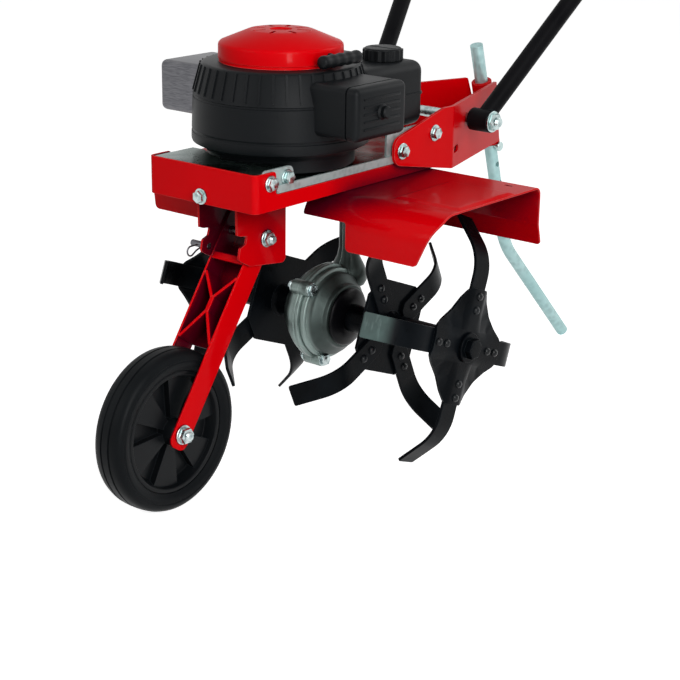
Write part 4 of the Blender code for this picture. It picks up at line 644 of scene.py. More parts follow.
def rounded(points: Sequence[tuple[float, ...]], steps: int = 6) -> list[Point2]:
    """Round an outline's corners.

    Args:
        points: corners, each with its radius as an optional third value.
        steps: parts of each arc.

    Returns:
        The rounded outline.
    """
    outline: list[Point2] = []
    for i, point in enumerate(points):
        here = Vector(point[:2])
        reach = point[2] if len(point) > 2 else 0.0
        back = (Vector(points[i - 1][:2]) - here).normalized()
        ahead = (Vector(points[(i + 1) % len(points)][:2]) - here).normalized()
        opening = back.angle(ahead)
        if reach <= 0 or opening > math.radians(178):
            outline.append((here.x, here.y))
            continue
        middle = here + (back + ahead).normalized() * (reach / math.sin(opening / 2))
        setback = reach / math.tan(opening / 2)
        start, end = here + back * setback - middle, here + ahead * setback - middle
        sweep = start.angle_signed(end)
        for k in range(steps + 1):
            swung = Matrix.Rotation(-sweep * k / steps, 2) @ start + middle
            outline.append((swung.x, swung.y))
    return outline


def eased(points: Sequence[Point3], radius: float, steps: int = 10) -> list[Vector]:
    """Round the bends of an open run.

    Args:
        points: the run's corners.
        radius: the bend radius.
        steps: parts of each bend.

    Returns:
        The points of the rounded run.
    """
    run = [Vector(points[0])]
    for before, corner, after in zip(points, points[1:], points[2:]):
        here = Vector(corner)
        back, ahead = (Vector(before) - here).normalized(), (Vector(after) - here).normalized()
        opening = back.angle(ahead)
        middle = here + (back + ahead).normalized() * (radius / math.sin(opening / 2))
        start = here + back * (radius / math.tan(opening / 2)) - middle
        axis = start.cross(ahead)
        for k in range(steps + 1):
            run.append(middle + Matrix.Rotation((math.pi - opening) * k / steps, 3, axis) @ start)
    run.append(Vector(points[-1]))
    return run


class Bends:
    """A profile of straights and round bends, read by the distance along it."""

    def __init__(self, start: Point2, heading: float) -> None:
        """Begin at a point with a heading in radians.

        Args:
            start: its first point.
            heading: its first direction in radians.
        """
        self.runs: list[tuple[float, float, Vector, float, float]] = []
        self.length = 0.0
        self.point = Vector(start)
        self.heading = heading

    def straight(self, length: float) -> Bends:
        """Add a straight run.

        Args:
            length: length of the run.

        Returns:
            These bends.
        """
        self.runs.append((self.length, length, self.point.copy(), self.heading, 0.0))
        self.point = self.point + length * Vector((math.cos(self.heading), math.sin(self.heading)))
        self.length += length
        return self

    def bend(self, radius: float, angle: float) -> Bends:
        """Add a round bend; a positive angle turns left.

        Args:
            radius: radius of the bend.
            angle: its turn in radians, positive to the left.

        Returns:
            These bends.
        """
        length = radius * abs(angle)
        self.runs.append((self.length, length, self.point.copy(), self.heading, angle / length))
        self.point = self.at(self.length + length)
        self.heading += angle
        self.length += length
        return self

    def at(self, along: float) -> Vector:
        """The point at a distance along the profile.

        Args:
            along: distance along the profile.

        Returns:
            The point.
        """
        passed = [run for run in self.runs if along >= run[0] - 1e-6]
        begin, _, point, heading, curl = (passed or self.runs[:1])[-1]
        gone = along - begin
        if curl == 0.0:
            return point + gone * Vector((math.cos(heading), math.sin(heading)))
        after = heading + curl * gone
        swing = (math.sin(after) - math.sin(heading), math.cos(heading) - math.cos(after))
        return point + Vector(swing) / curl

    def scores(self, steps: int) -> list[tuple[Point3, Point3]]:
        """Score lines across a flat sheet, so that each bend has its steps.

        Args:
            steps: parts of each bend.

        Returns:
            Point and normal of each line.
        """
        marks: list[float] = []
        for begin, length, _, _, curl in self.runs:
            parts = steps if curl else 1
            marks += [begin + length * k / parts for k in range(parts)]
        return [((0, mark, 0), (0, 1, 0)) for mark in marks[1:]]

    def stand(self, height: float, along: float) -> Point3:
        """Where a flat point goes when the sheet stands on the profile as its plan."""
        spot = self.at(along)
        return (spot.x, spot.y, height)


@dataclass
class Form:
    """A solid being shaped by bmesh operators, in millimetres from the tine shaft."""

    mesh: bmesh.types.BMesh = field(default_factory=bmesh.new)

    @classmethod
    def block(cls, low: Point3, high: Point3, edge: float = 0.0, segments: int = 3) -> Form:
        """A box between two corners, its edges rounded.

        Args:
            low: lowest corner.
            high: highest corner.
            edge: radius of the edges.
            segments: steps of the rounding.

        Returns:
            The form.
        """
        form = cls()
        bmesh.ops.create_cube(form.mesh, size=1.0)
        bmesh.ops.scale(form.mesh, vec=Vector(high) - Vector(low), verts=form.mesh.verts)
        bmesh.ops.translate(form.mesh, vec=(Vector(high) + Vector(low)) / 2, verts=form.mesh.verts)
        if edge > 0:
            bmesh.ops.bevel(
                form.mesh, geom=form.mesh.edges[:], offset=edge, segments=segments, profile=0.5,
                affect="EDGES", material=-1,
            )
        return form

    @classmethod
    def turned(cls, profile: Sequence[Point2], steps: int = 64) -> Form:
        """Spin a (radius, height) profile about Z.

        Args:
            profile: points in order; a ring repeats its first point at the end.
            steps: parts of the turn.

        Returns:
            The form.
        """
        form = cls()
        points = [form.mesh.verts.new((r, 0.0, z)) for r, z in profile]
        edges = [form.mesh.edges.new(pair) for pair in zip(points, points[1:])]
        bmesh.ops.spin(
            form.mesh, geom=points + edges, cent=(0, 0, 0), axis=(0, 0, 1), dvec=(0, 0, 0), angle=math.tau,
            steps=steps, use_merge=True, use_duplicate=False,
        )
        return form.closed()

    @classmethod
    def plate(
        cls, outline: Sequence[Point2], thickness: float, holes: Sequence[Sequence[Point2]] = (),
    ) -> Form:
        """A flat plate in XY, centred on Z = 0.

        Args:
            outline: its outer edge.
            thickness: its thickness.
            holes: outlines of its holes.

        Returns:
            The form.
        """
        form = cls()
        edges = []
        for loop in (outline, *holes):
            points = [form.mesh.verts.new((x, y, -thickness / 2)) for x, y in loop]
            edges += [form.mesh.edges.new(pair) for pair in zip(points, points[1:] + points[:1])]
        bmesh.ops.triangle_fill(form.mesh, use_beauty=True, use_dissolve=False, edges=edges)
        made = bmesh.ops.extrude_face_region(form.mesh, geom=form.mesh.faces[:])
        lifted = [item for item in made["geom"] if isinstance(item, bmesh.types.BMVert)]
        bmesh.ops.translate(form.mesh, vec=(0, 0, thickness), verts=lifted)
        return form.closed()

    @classmethod
    def prism(cls, sides: int, radius: float, low: float, high: float, chamfer: float = 0.0) -> Form:
        """A regular bar along Z, its ends chamfered.

        Args:
            sides: number of sides.
            radius: radius to its corners.
            low: lower end.
            high: upper end.
            chamfer: width of the end chamfers.

        Returns:
            The form.
        """
        form = cls()
        bmesh.ops.create_cone(
            form.mesh, cap_ends=True, segments=sides, radius1=radius, radius2=radius, depth=high - low,
        )
        bmesh.ops.translate(form.mesh, vec=(0, 0, (low + high) / 2), verts=form.mesh.verts)
        if chamfer > 0:
            rims = [e for e in form.mesh.edges if abs(e.verts[0].co.z - e.verts[1].co.z) < 1e-6]
            bmesh.ops.bevel(
                form.mesh, geom=rims, offset=chamfer, segments=2, profile=0.5, affect="EDGES", material=-1,
            )
        return form

    @classmethod
    def tube(cls, path: Sequence[Vector | Point3], radius: float, sides: int = 24) -> Form:
        """A round bar along a run of points, drawn out of one disc.

        Args:
            path: the points of its middle line.
            radius: its radius.
            sides: points round it.

        Returns:
            The form.
        """
        form = cls()
        run = [Vector(point) for point in path]
        headings = [(after - before).normalized() for before, after in zip(run, run[1:])]
        between = [(a + b).normalized() for a, b in zip(headings, headings[1:])]
        leans = [headings[0], *between, headings[-1]]
        spin = Vector((0, 0, 1)).rotation_difference(leans[0]).to_matrix()
        bmesh.ops.create_circle(form.mesh, cap_ends=True, radius=radius, segments=sides)
        stations = []
        for k, (point, lean) in enumerate(zip(run, leans)):
            if k:
                spin = leans[k - 1].rotation_difference(lean).to_matrix() @ spin
            stations.append(Matrix.Translation(point) @ spin.to_4x4())
        bmesh.ops.transform(form.mesh, matrix=stations[0], verts=form.mesh.verts)
        cap = form.mesh.faces[:]
        for k, (before, after) in enumerate(zip(stations, stations[1:])):
            made = bmesh.ops.extrude_face_region(form.mesh, geom=cap)["geom"]
            if k:
                bmesh.ops.delete(form.mesh, geom=cap, context="FACES_ONLY")
            moved = [item for item in made if isinstance(item, bmesh.types.BMVert)]
            bmesh.ops.transform(form.mesh, matrix=after @ before.inverted(), verts=moved)
            cap = [item for item in made if isinstance(item, bmesh.types.BMFace)]
        return form.closed()

    @classmethod
    def folded(
        cls, outline: Sequence[Point2], cuts: Iterable[tuple[Point3, Point3]],
        fold: Callable[[float, float], Point3],
    ) -> Form:
        """A sheet cut flat to an outline, scored along lines and bent to shape.

        Args:
            outline: the flat sheet's edge in (across, along).
            cuts: point and normal of each score line.
            fold: where a flat point goes.

        Returns:
            The middle surface, which gets its wall as a piece.
        """
        form = cls()
        form.mesh.faces.new([form.mesh.verts.new((x, s, 0.0)) for x, s in outline])
        for point, normal in cuts:
            everything = form.mesh.verts[:] + form.mesh.edges[:] + form.mesh.faces[:]
            bmesh.ops.bisect_plane(form.mesh, geom=everything, dist=1e-4, plane_co=point, plane_no=normal)
        for vert in form.mesh.verts:
            vert.co = Vector(fold(vert.co.x, vert.co.y))
        bmesh.ops.recalc_face_normals(form.mesh, faces=form.mesh.faces)
        return form

    def closed(self) -> Form:
        """Merge doubles and turn the faces out.

        Returns:
            This form.
        """
        bmesh.ops.remove_doubles(self.mesh, verts=self.mesh.verts, dist=1e-4)
        bmesh.ops.recalc_face_normals(self.mesh, faces=self.mesh.faces)
        return self

    def put(self, at: Point3 | Vector = (0, 0, 0), turn: Matrix | Facing | None = None) -> Form:
        """Turn the form about the origin, then move it.

        Args:
            at: where its origin goes.
            turn: a rotation, or a direction for its Z axis.

        Returns:
            This form.
        """
        if isinstance(turn, Facing):
            turn = turn.turn
        place = Matrix.Translation(Vector(at)) @ (turn if turn is not None else Matrix.Identity(4))
        bmesh.ops.transform(self.mesh, matrix=place, verts=self.mesh.verts)
        return self

    def add(self, *others: Form) -> Form:
        """Take other forms into this one.

        Args:
            others: forms that are used up.

        Returns:
            This form.
        """
        for other in others:
            spare = bpy.data.meshes.new("spare")
            other.mesh.to_mesh(spare)
            other.mesh.free()
            self.mesh.from_mesh(spare)
            bpy.data.meshes.remove(spare)
        return self

    def mirrored(self) -> Form:
        """The same form on the machine's other side.

        Returns:
            The twin.
        """
        twin = Form(self.mesh.copy())
        bmesh.ops.scale(twin.mesh, vec=(-1, 1, 1), verts=twin.mesh.verts)
        bmesh.ops.reverse_faces(twin.mesh, faces=twin.mesh.faces)
        return twin

    def less(self, tool: Form, wall: float = 0.0) -> Form:
        """Cut another form out of this one.

        Args:
            tool: what is cut away.
            wall: sheet thickness that an open form gets first.

        Returns:
            This form.
        """
        pair = []
        for name, form in (("work", self), ("tool", tool)):
            mesh = bpy.data.meshes.new(name)
            form.mesh.to_mesh(mesh)
            form.mesh.free()
            pair.append(bpy.data.objects.new(name, mesh))
            link(pair[-1])
        if wall > 0:
            thicken(pair[0], wall)
        change = pair[0].modifiers.new("cut", "BOOLEAN")
        change.object = pair[1]
        bpy.context.view_layer.update()
        shown = pair[0].evaluated_get(bpy.context.evaluated_depsgraph_get())
        result = bpy.data.meshes.new_from_object(shown)
        self.mesh = bmesh.new()
        self.mesh.from_mesh(result)
        bmesh.ops.remove_doubles(self.mesh, verts=self.mesh.verts, dist=2e-3)
        bmesh.ops.dissolve_degenerate(self.mesh, dist=2e-3, edges=self.mesh.edges)
        for item in pair:
            bpy.data.objects.remove(item, do_unlink=True)
        return self


@dataclass
class Workshop:
    """Turns forms into pieces that ride on the frame, and dresses the nodes that stay."""

    frame: dict
    looks: dict[str, bpy.types.Material] = field(default_factory=dict)

    def look(self, finish: Finish) -> bpy.types.Material:
        """A finish's material, made once.

        Args:
            finish: the finish.

        Returns:
            The material.
        """
        if finish.name not in self.looks:
            self.looks[finish.name] = finish.make()
        return self.looks[finish.name]

    def piece(
        self, form: Form, name: str, body: str, finish: Finish, nodes: Sequence[str] = (),
        wall: float = 0.0, edge: float = 0.0, soft: float = 40.0,
    ) -> bpy.types.Object:
        """Make a piece.

        Args:
            form: its shape.
            name: its name.
            body: the body it rides on.
            finish: its finish.
            nodes: the frame's nodes that it stands for.
            wall: sheet thickness for an open form.
            edge: radius of its softened edges.
            soft: angle in degrees up to which faces shade as one.

        Returns:
            The new object.
        """
        mesh = bpy.data.meshes.new(name)
        bmesh.ops.transform(form.mesh, matrix=TO_FRAME, verts=form.mesh.verts)
        form.mesh.to_mesh(mesh)
        form.mesh.free()
        mesh.materials.append(self.look(finish))
        mesh.shade_smooth()
        item = bpy.data.objects.new(name, mesh)
        link(item)
        if wall > 0:
            thicken(item, wall * MILLIMETRE)
        if edge > 0:
            rim = item.modifiers.new("edge", "BEVEL")
            rim.width = edge * MILLIMETRE
            rim.segments = 2
            rim.limit_method = "ANGLE"
            rim.angle_limit = math.radians(soft)
            rim.use_clamp_overlap = True
            even = item.modifiers.new("even", "WEIGHTED_NORMAL")
            even.keep_sharp = True
        else:
            mesh.set_sharp_from_angle(angle=math.radians(soft))
        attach(item, body)
        if nodes:
            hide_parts(*nodes)
        log.info("%s rides on %s", name, body)
        return item

    def dress(self, finish: Finish, *nodes: str) -> None:
        """Give nodes that stay as they are their finish.

        Args:
            finish: the finish.
            nodes: the frame's nodes.
        """
        for name in nodes:
            item = self.frame["nodes"][name]
            for slot in item.material_slots:
                slot.material = self.look(finish)
            log.info("%s keeps its shape", name)


@dataclass(frozen=True)
class HexBolt:
    """A hexagon head on a flanged washer, with the thread's end showing through a nut."""

    corner: float = 7.6
    height: float = 5.4
    washer: float = 9.6
    washer_height: float = 1.7
    stub: float = 0.0
    stub_radius: float = 4.0

    def form(self) -> Form:
        """The head along Z, seated at Z = 0.

        Returns:
            The form.
        """
        lip = self.washer
        seat = self.washer_height
        rings = [(0, 0), (lip - 0.4, 0), (lip, 0.4), (lip, seat - 0.4), (lip - 0.5, seat), (0, seat)]
        foot = Form.turned(rings, 32)
        top = seat + self.height
        head = Form.prism(6, self.corner, seat - 0.2, top, 0.7)
        brim = self.corner * 0.72
        crown = Form.turned([(0, top), (brim, top), (self.corner * 0.60, top + 0.5), (0, top + 0.5)], 24)
        foot.add(head, crown)
        if self.stub > 0:
            r = self.stub_radius
            end = top + self.stub
            rings = [(0, end), (r - 0.8, end), (r, end - 0.8)]
            for k in range(int(self.stub)):
                rings += [(r, end - 1.0 - k), (r - 0.45, end - 1.5 - k)]
            foot.add(Form.turned(rings + [(r, top - 1), (0, top - 1)], 24))
        return foot


def through_bolt(
    sides: int, radius: float, seat: float, at: Point3, nut: HexBolt, head: HexBolt,
) -> Form:
    """A bolt across the machine, its nut on the left and its head on the right.

    Args:
        sides: points round its shank.
        radius: radius of its shank.
        seat: distance from its middle to its nut and head.
        at: its middle.
        nut: its left end.
        head: its right end.

    Returns:
        The new form.
    """
    form = Form.prism(sides, radius, -seat, seat).put(at, Facing.LEFT)
    for side, end in ((Side.LEFT, nut), (Side.RIGHT, head)):
        form.add(end.form().put((side.value * seat, *at[1:]), side.out))
    return form


@dataclass
class Tray:
    """The folded chassis tray with its skirt, rails, pans and the bright engine plate on it."""

    half: float = 86.0
    front: float = -232.0
    rear: float = 118.0
    low: float = 186.0
    skirt_top: float = 232.0
    rail_top: float = 210.5
    rail_lip: float = 204.5
    skirt_back: float = -196.0
    metal: float = 3.0
    corner: float = 6.0
    rim: float = 28.0
    front_pan: float = -124.0
    rear_pan: float = -6.0
    plate: float = 4.0
    front_lug: Point3 = (-216.0, -162.0, 234.0)
    rear_lug: Point3 = (16.0, 126.0, 246.0)
    lug_metal: float = 3.0
    worm: float = 46.0
    neck: float = 18.0
    crank: float = -90.0
    crank_bore: float = 16.0
    engine_room: float = 93.5
    cover_metal: float = 2.0
    skirt_bolt: float = 195.0
    side_bolt: Point2 = (-206.0, 219.0)
    lug_bolt: Point2 = (-173.5, 221.0)

    def walls(self) -> Form:
        """The sheet that runs round the front as a skirt and back along both sides as rails.

        Returns:
            The form.
        """
        inset = self.half - self.metal / 2
        nose = self.front + self.metal / 2
        path = Bends((-inset, self.rear), -QUARTER)
        run = self.rear - nose - self.corner
        path.straight(run).bend(self.corner, QUARTER).straight(2 * (inset - self.corner))
        path.bend(self.corner, QUARTER).straight(run)
        lift = self.rear - self.skirt_back
        end = path.length
        outline = rounded([
            (self.low, 0, 3), (self.rail_lip, 0, 3), (self.rail_lip, lift, 4), (self.skirt_top, lift, 4),
            (self.skirt_top, end - lift, 4), (self.rail_lip, end - lift, 4), (self.rail_lip, end, 3),
            (self.low, end, 3),
        ])
        return Form.folded(outline, path.scores(6), path.stand)

    def pans(self) -> Form:
        """The deck rim and the pans inside the walls.

        Returns:
            The form.
        """
        inner = self.half - self.metal - 0.05
        lip = self.front + self.metal + 0.05
        hole = self.half - self.rim
        opening = oblong((-hole, self.front_pan - self.rim), (hole, self.rear - self.rim), 14)
        deck = Form.plate(oblong((-inner, lip), (inner, self.rear)), self.metal, [opening])
        deck.put((0, 0, self.rail_top - self.metal / 2))
        level = self.low + self.metal / 2
        bow = oblong((-inner, lip), (inner, self.front_pan))
        stern = oblong((-inner, self.rear_pan), (inner, self.rear))
        return deck.add(
            Form.plate(bow, self.metal).put((0, 0, level)),
            Form.plate(stern, self.metal, [circle((0, self.worm), self.neck, 32)]).put((0, 0, level)),
        )

    def engine_plate(self) -> Form:
        """The bright plate under the engine.

        Returns:
            The form.
        """
        half = self.half - self.metal - FLUSH
        front = self.front + self.metal + FLUSH
        bore = circle((0, self.crank), self.crank_bore, 32)
        form = Form.plate(oblong((-half, front), (half, self.rear_lug[1])), self.plate, [bore])
        return form.put((0, 0, self.rail_top + FLUSH + self.plate / 2))

    def lugs(self) -> Form:
        """The lugs turned up from the plate at its corners, and the edges turned down over the rails.

        Returns:
            The form.
        """
        half = self.half - self.metal - FLUSH
        foot = self.rail_top + FLUSH
        form = Form()
        hem = rounded([
            (self.skirt_back + 2, self.rail_lip + 0.5, 1), (self.rear_lug[1], self.rail_lip + 0.5, 1),
            (self.rear_lug[1], foot + self.plate, 1.5), (self.skirt_back + 2, foot + self.plate, 1.5),
        ])
        for side in Side:
            near = side is Side.LEFT
            for begin, end, top in (self.front_lug, self.rear_lug):
                stop = end if near else max(self.skirt_back - 2, end if begin > 0 else begin)
                height = top if near else min(top, self.skirt_top - 3)
                lug = rounded([(begin, foot, 0), (stop, foot, 0), (stop, height, 8), (begin, height, 8)])
                at = (side.value * (half - self.lug_metal / 2), 0, 0)
                form.add(Form.plate(lug, self.lug_metal).put(at, STANDING))
            at = (side.value * (half + self.metal / 2), 0, 0)
            form.add(Form.plate(hem, self.metal).put(at, STANDING))
        return form

    def cover(self) -> Form:
        """The plate that closes the tray between its front lugs, cut round the engine; its dark finish is
        painted shade.

        Returns:
            The form.
        """
        half = self.half - self.metal - FLUSH - self.lug_metal + 0.1
        front, rear = self.front + self.metal + FLUSH, self.front_lug[1]
        plate = Form.plate(oblong((-half, front), (half, rear)), self.cover_metal)
        plate.put((0, 0, self.skirt_top - 1.6))
        return plate.less(Form.prism(64, self.engine_room, 200, 250).put((0, self.crank, 0)))

    def bolts(self) -> Form:
        """The hexagon heads on the skirt and the front lugs.

        Returns:
            The form.
        """
        head = HexBolt()
        form = head.form().put((0, self.front, self.skirt_bolt), Facing.FRONT)
        inner = self.half - self.metal - FLUSH
        for side in Side:
            form.add(head.form().put((side.value * self.half, *self.side_bolt), side.out))
            if side is Side.LEFT:
                form.add(head.form().put((inner, *self.lug_bolt), side.out))
        return form

    def build(self, shop: Workshop) -> None:
        """Make the tray's pieces.

        Args:
            shop: makes the pieces.
        """
        shop.piece(
            self.walls(), "tray_walls", "chassis", TRAY_RED, ["chassis_frame"], wall=self.metal, edge=0.7,
        )
        shop.piece(self.pans(), "tray_pans", "chassis", TRAY_RED, edge=0.4)
        shop.piece(self.engine_plate(), "engine_deck", "chassis", ZINC_DECK, ["engine_plate"], edge=0.6)
        shop.piece(self.cover(), "front_cover", "chassis", ZINC_DECK, edge=0.4)
        shop.piece(self.lugs(), "engine_lugs", "chassis", ZINC_PLATE, edge=0.6)
        shop.piece(self.bolts(), "tray_bolts", "chassis", ZINC, soft=30)


@dataclass
class Guards:
    """Pressed guards over the tines: a rolled front flap, a raised panel and a flared heel."""

    metal: float = 2.5
    inner: float = 48.0
    tab_inner: float = 115.0
    outer: float = 248.0
    toe_outer: float = 220.0
    front: float = -104.0
    rear: float = 116.0
    top: float = 185.7
    toe: float = 123.0
    tab: float = 158.0
    heel: float = 112.0
    nose_radius: float = 35.0
    heel_radius: float = 9.0
    flare: float = 14.0
    lip: float = 26.0
    ear_drop: float = 24.0
    right_trim: float = 15.0
    right_ear: float = 20.0
    panel: Point3 = (148.0, -58.0, 62.0)
    panel_height: float = 2.6
    panel_slope: float = 9.0
    slot: tuple[Point2, Point2] = ((209.0, 90.5), (221.0, 95.5))

    def profile(self) -> Bends:
        """The side profile in (Y, Z) from toe to heel.

        Returns:
            The profile.
        """
        middle = self.metal / 2
        crown = self.top - middle
        front, rear = self.front + middle, self.rear - middle
        path = Bends((front, self.toe), QUARTER)
        path.straight(crown - self.nose_radius - self.toe).bend(self.nose_radius, -QUARTER)
        path.straight(rear - front - self.nose_radius - self.heel_radius).bend(self.heel_radius, -QUARTER)
        path.straight(crown - self.heel_radius - self.heel - self.lip)
        path.bend(self.heel_radius, math.radians(self.flare))
        return path.straight(self.lip)

    def raised(self, across: float, along: float, outer: float, start: float) -> float:
        """How far the panel is pressed up at a flat point.

        Args:
            across: distance from the machine's middle.
            along: distance along the flat sheet.
            outer: the panel's outer edge.
            start: where Y = 0 lies along the sheet.

        Returns:
            The rise.
        """
        inner, front, rear = self.panel
        reach = min(across - inner, outer - across, along - start - front, rear - along + start)
        return self.panel_height * smooth(reach / self.panel_slope)

    def sheet(self, trim: float, ear: float) -> Form:
        """A left-hand guard, bent, pressed and slotted.

        Args:
            trim: how much narrower it is.
            ear: how much more its ear is drawn in.

        Returns:
            The form.
        """
        path = self.profile()
        shoulder = path.runs[2][0]
        tab = self.tab - self.toe
        outer = self.outer - trim - ear
        outline = rounded([
            (self.tab_inner, 0, 6), (self.toe_outer - trim, 0, 7), (outer, shoulder - self.ear_drop, 24),
            (outer, path.length, 4), (self.inner, path.length, 4), (self.inner, tab, 3),
            (self.tab_inner, tab, 4),
        ], 8)
        start = shoulder - (self.front + self.nose_radius + self.metal / 2)
        inner, front, rear = self.panel
        edge = outer + 1.0
        cuts = path.scores(10)
        for k in range(7):
            step = self.panel_slope * k / 6
            cuts += [((x, 0, 0), (1, 0, 0)) for x in (inner + step, edge - step)]
            cuts += [((0, s + start, 0), (0, 1, 0)) for s in (front + step, rear - step)]

        def fold(across: float, along: float) -> Point3:
            """Bend the flat sheet and press its panel."""
            spot = path.at(along)
            return (across, spot.x, spot.y + self.raised(across, along, edge, start))

        form = Form.folded(outline, cuts, fold)
        (left, ahead), (right, behind) = self.slot
        draw = trim + ear
        slot = Form.block((left - draw, ahead, self.heel), (right - draw, behind, 220), 2.4)
        return form.less(slot, self.metal)

    def build(self, shop: Workshop) -> None:
        """Make both guards.

        Args:
            shop: makes the pieces.
        """
        left, right = self.sheet(0.0, 0.0), self.sheet(self.right_trim, self.right_ear).mirrored()
        for form, side in ((left, Side.LEFT), (right, Side.RIGHT)):
            name = f"guard_sheet_{side.word}"
            shop.piece(form, name, "chassis", GUARD_RED, [f"guard_{side.word}"], edge=0.6)


@dataclass
class WheelBracket:
    """The notched channel under the tray, its pivot bolt, and the drawn-back lock pin with its clip."""

    metal: float = 3.0
    inner: float = 29.1
    front: float = -205.0
    rear: float = -117.0
    top: float = 185.7
    low_front: float = 105.0
    low_rear: float = 97.0
    lip: float = -202.0
    notch: tuple[Point2, ...] = (
        (-204.5, 147.3), (-198.0, 144.9), (-186.5, 143.6), (-189.5, 134.0), (-199.0, 130.6),
    )
    pivot_hole: float = 5.3
    pin_hole: float = 4.3
    bolt_radius: float = 5.0
    nut: HexBolt = HexBolt(8.6, 5.6, 10.5, 1.7, 5.0, 4.8)
    head: HexBolt = HexBolt(8.6, 5.6, 10.5, 1.7)
    pivot: Point2 = (-152.0, 134.0)
    pin: Point2 = (-188.0, 120.0)
    pin_radius: float = 4.0
    pin_length: float = 29.0
    clip_off: float = 14.0
    clip_wire: float = 1.1

    def cheeks(self) -> Form:
        """Both notched cheeks and the web that joins them under the tray.

        Returns:
            The form.
        """
        hook = [(*spot, r) for spot, r in zip(self.notch, (1.5, 1.5, 2.0, 3.0, 3.0))]
        outline = rounded([
            (self.front, self.top, 0), *hook, (self.lip, self.low_front + 11, 5),
            (self.lip + 20, self.low_front, 7), (self.rear, self.low_rear, 7), (self.rear, self.top, 0),
        ])
        form = Form.block(
            (-self.inner - 1, self.front + 1, self.top - self.metal),
            (self.inner + 1, self.rear - 1, self.top - 0.15),
        )
        for side in Side:
            at = (side.value * (self.inner + self.metal / 2), 0, 0)
            holes = [circle(self.pivot, self.pivot_hole)]
            if side is Side.RIGHT:
                holes.append(circle(self.pin, self.pin_hole))
            form.add(Form.plate(outline, self.metal, holes).put(at, STANDING))
        return form

    def bolt(self) -> Form:
        """The fork's pivot bolt."""
        seat = self.inner + self.metal + FLUSH
        return through_bolt(24, self.bolt_radius, seat, (0, *self.pivot), self.nut, self.head)

    def lock(self) -> Form:
        """The lock pin, chamfered at both ends.

        Returns:
            The form.
        """
        r, end = self.pin_radius, self.pin_length
        shank = [(0, 0), (r - 1.2, 0), (r, 1.6), (r, end - 1), (r - 1, end), (0, end)]
        return Form.turned(shank, 32).put((-self.inner - FLUSH, *self.pin), Facing.RIGHT)

    def clip(self) -> Form:
        """The bent spring clip through the pin.

        Returns:
            The form.
        """
        across = self.inner + self.metal + self.clip_off
        reach = self.pin_radius + self.clip_wire + FLUSH
        eye, leg = 6.0, 15.0
        turns = [math.radians(-t) for t in range(12, 211, 12)]
        run = [(0.0, leg), (0.0, -leg)]
        run += [(eye * (1 - math.cos(t)), -leg + eye * math.sin(t)) for t in turns]
        run += [(reach + 1.6, -reach), (reach, 0.0), (reach + 1.6, reach + 1)]
        wire = [(-across, self.pin[0] + y, self.pin[1] - z) for z, y in run]
        return Form.tube(wire, self.clip_wire, 10)

    def build(self, shop: Workshop) -> None:
        """Make the bracket's pieces.

        Args:
            shop: makes the pieces.
        """
        shop.piece(self.cheeks(), "fork_channel", "chassis", CHANNEL_RED, ["wheel_bracket"], edge=0.6)
        shop.piece(self.bolt(), "fork_pivot", "chassis", ZINC, ["fork_pivot_bolt"], soft=30)
        shop.piece(self.lock(), "lock_rod", "lock_pin", DARK_STEEL, ["lock_pin"])
        shop.piece(self.clip(), "spring_clip", "lock_pin", DARK_STEEL, ["lock_clip"])


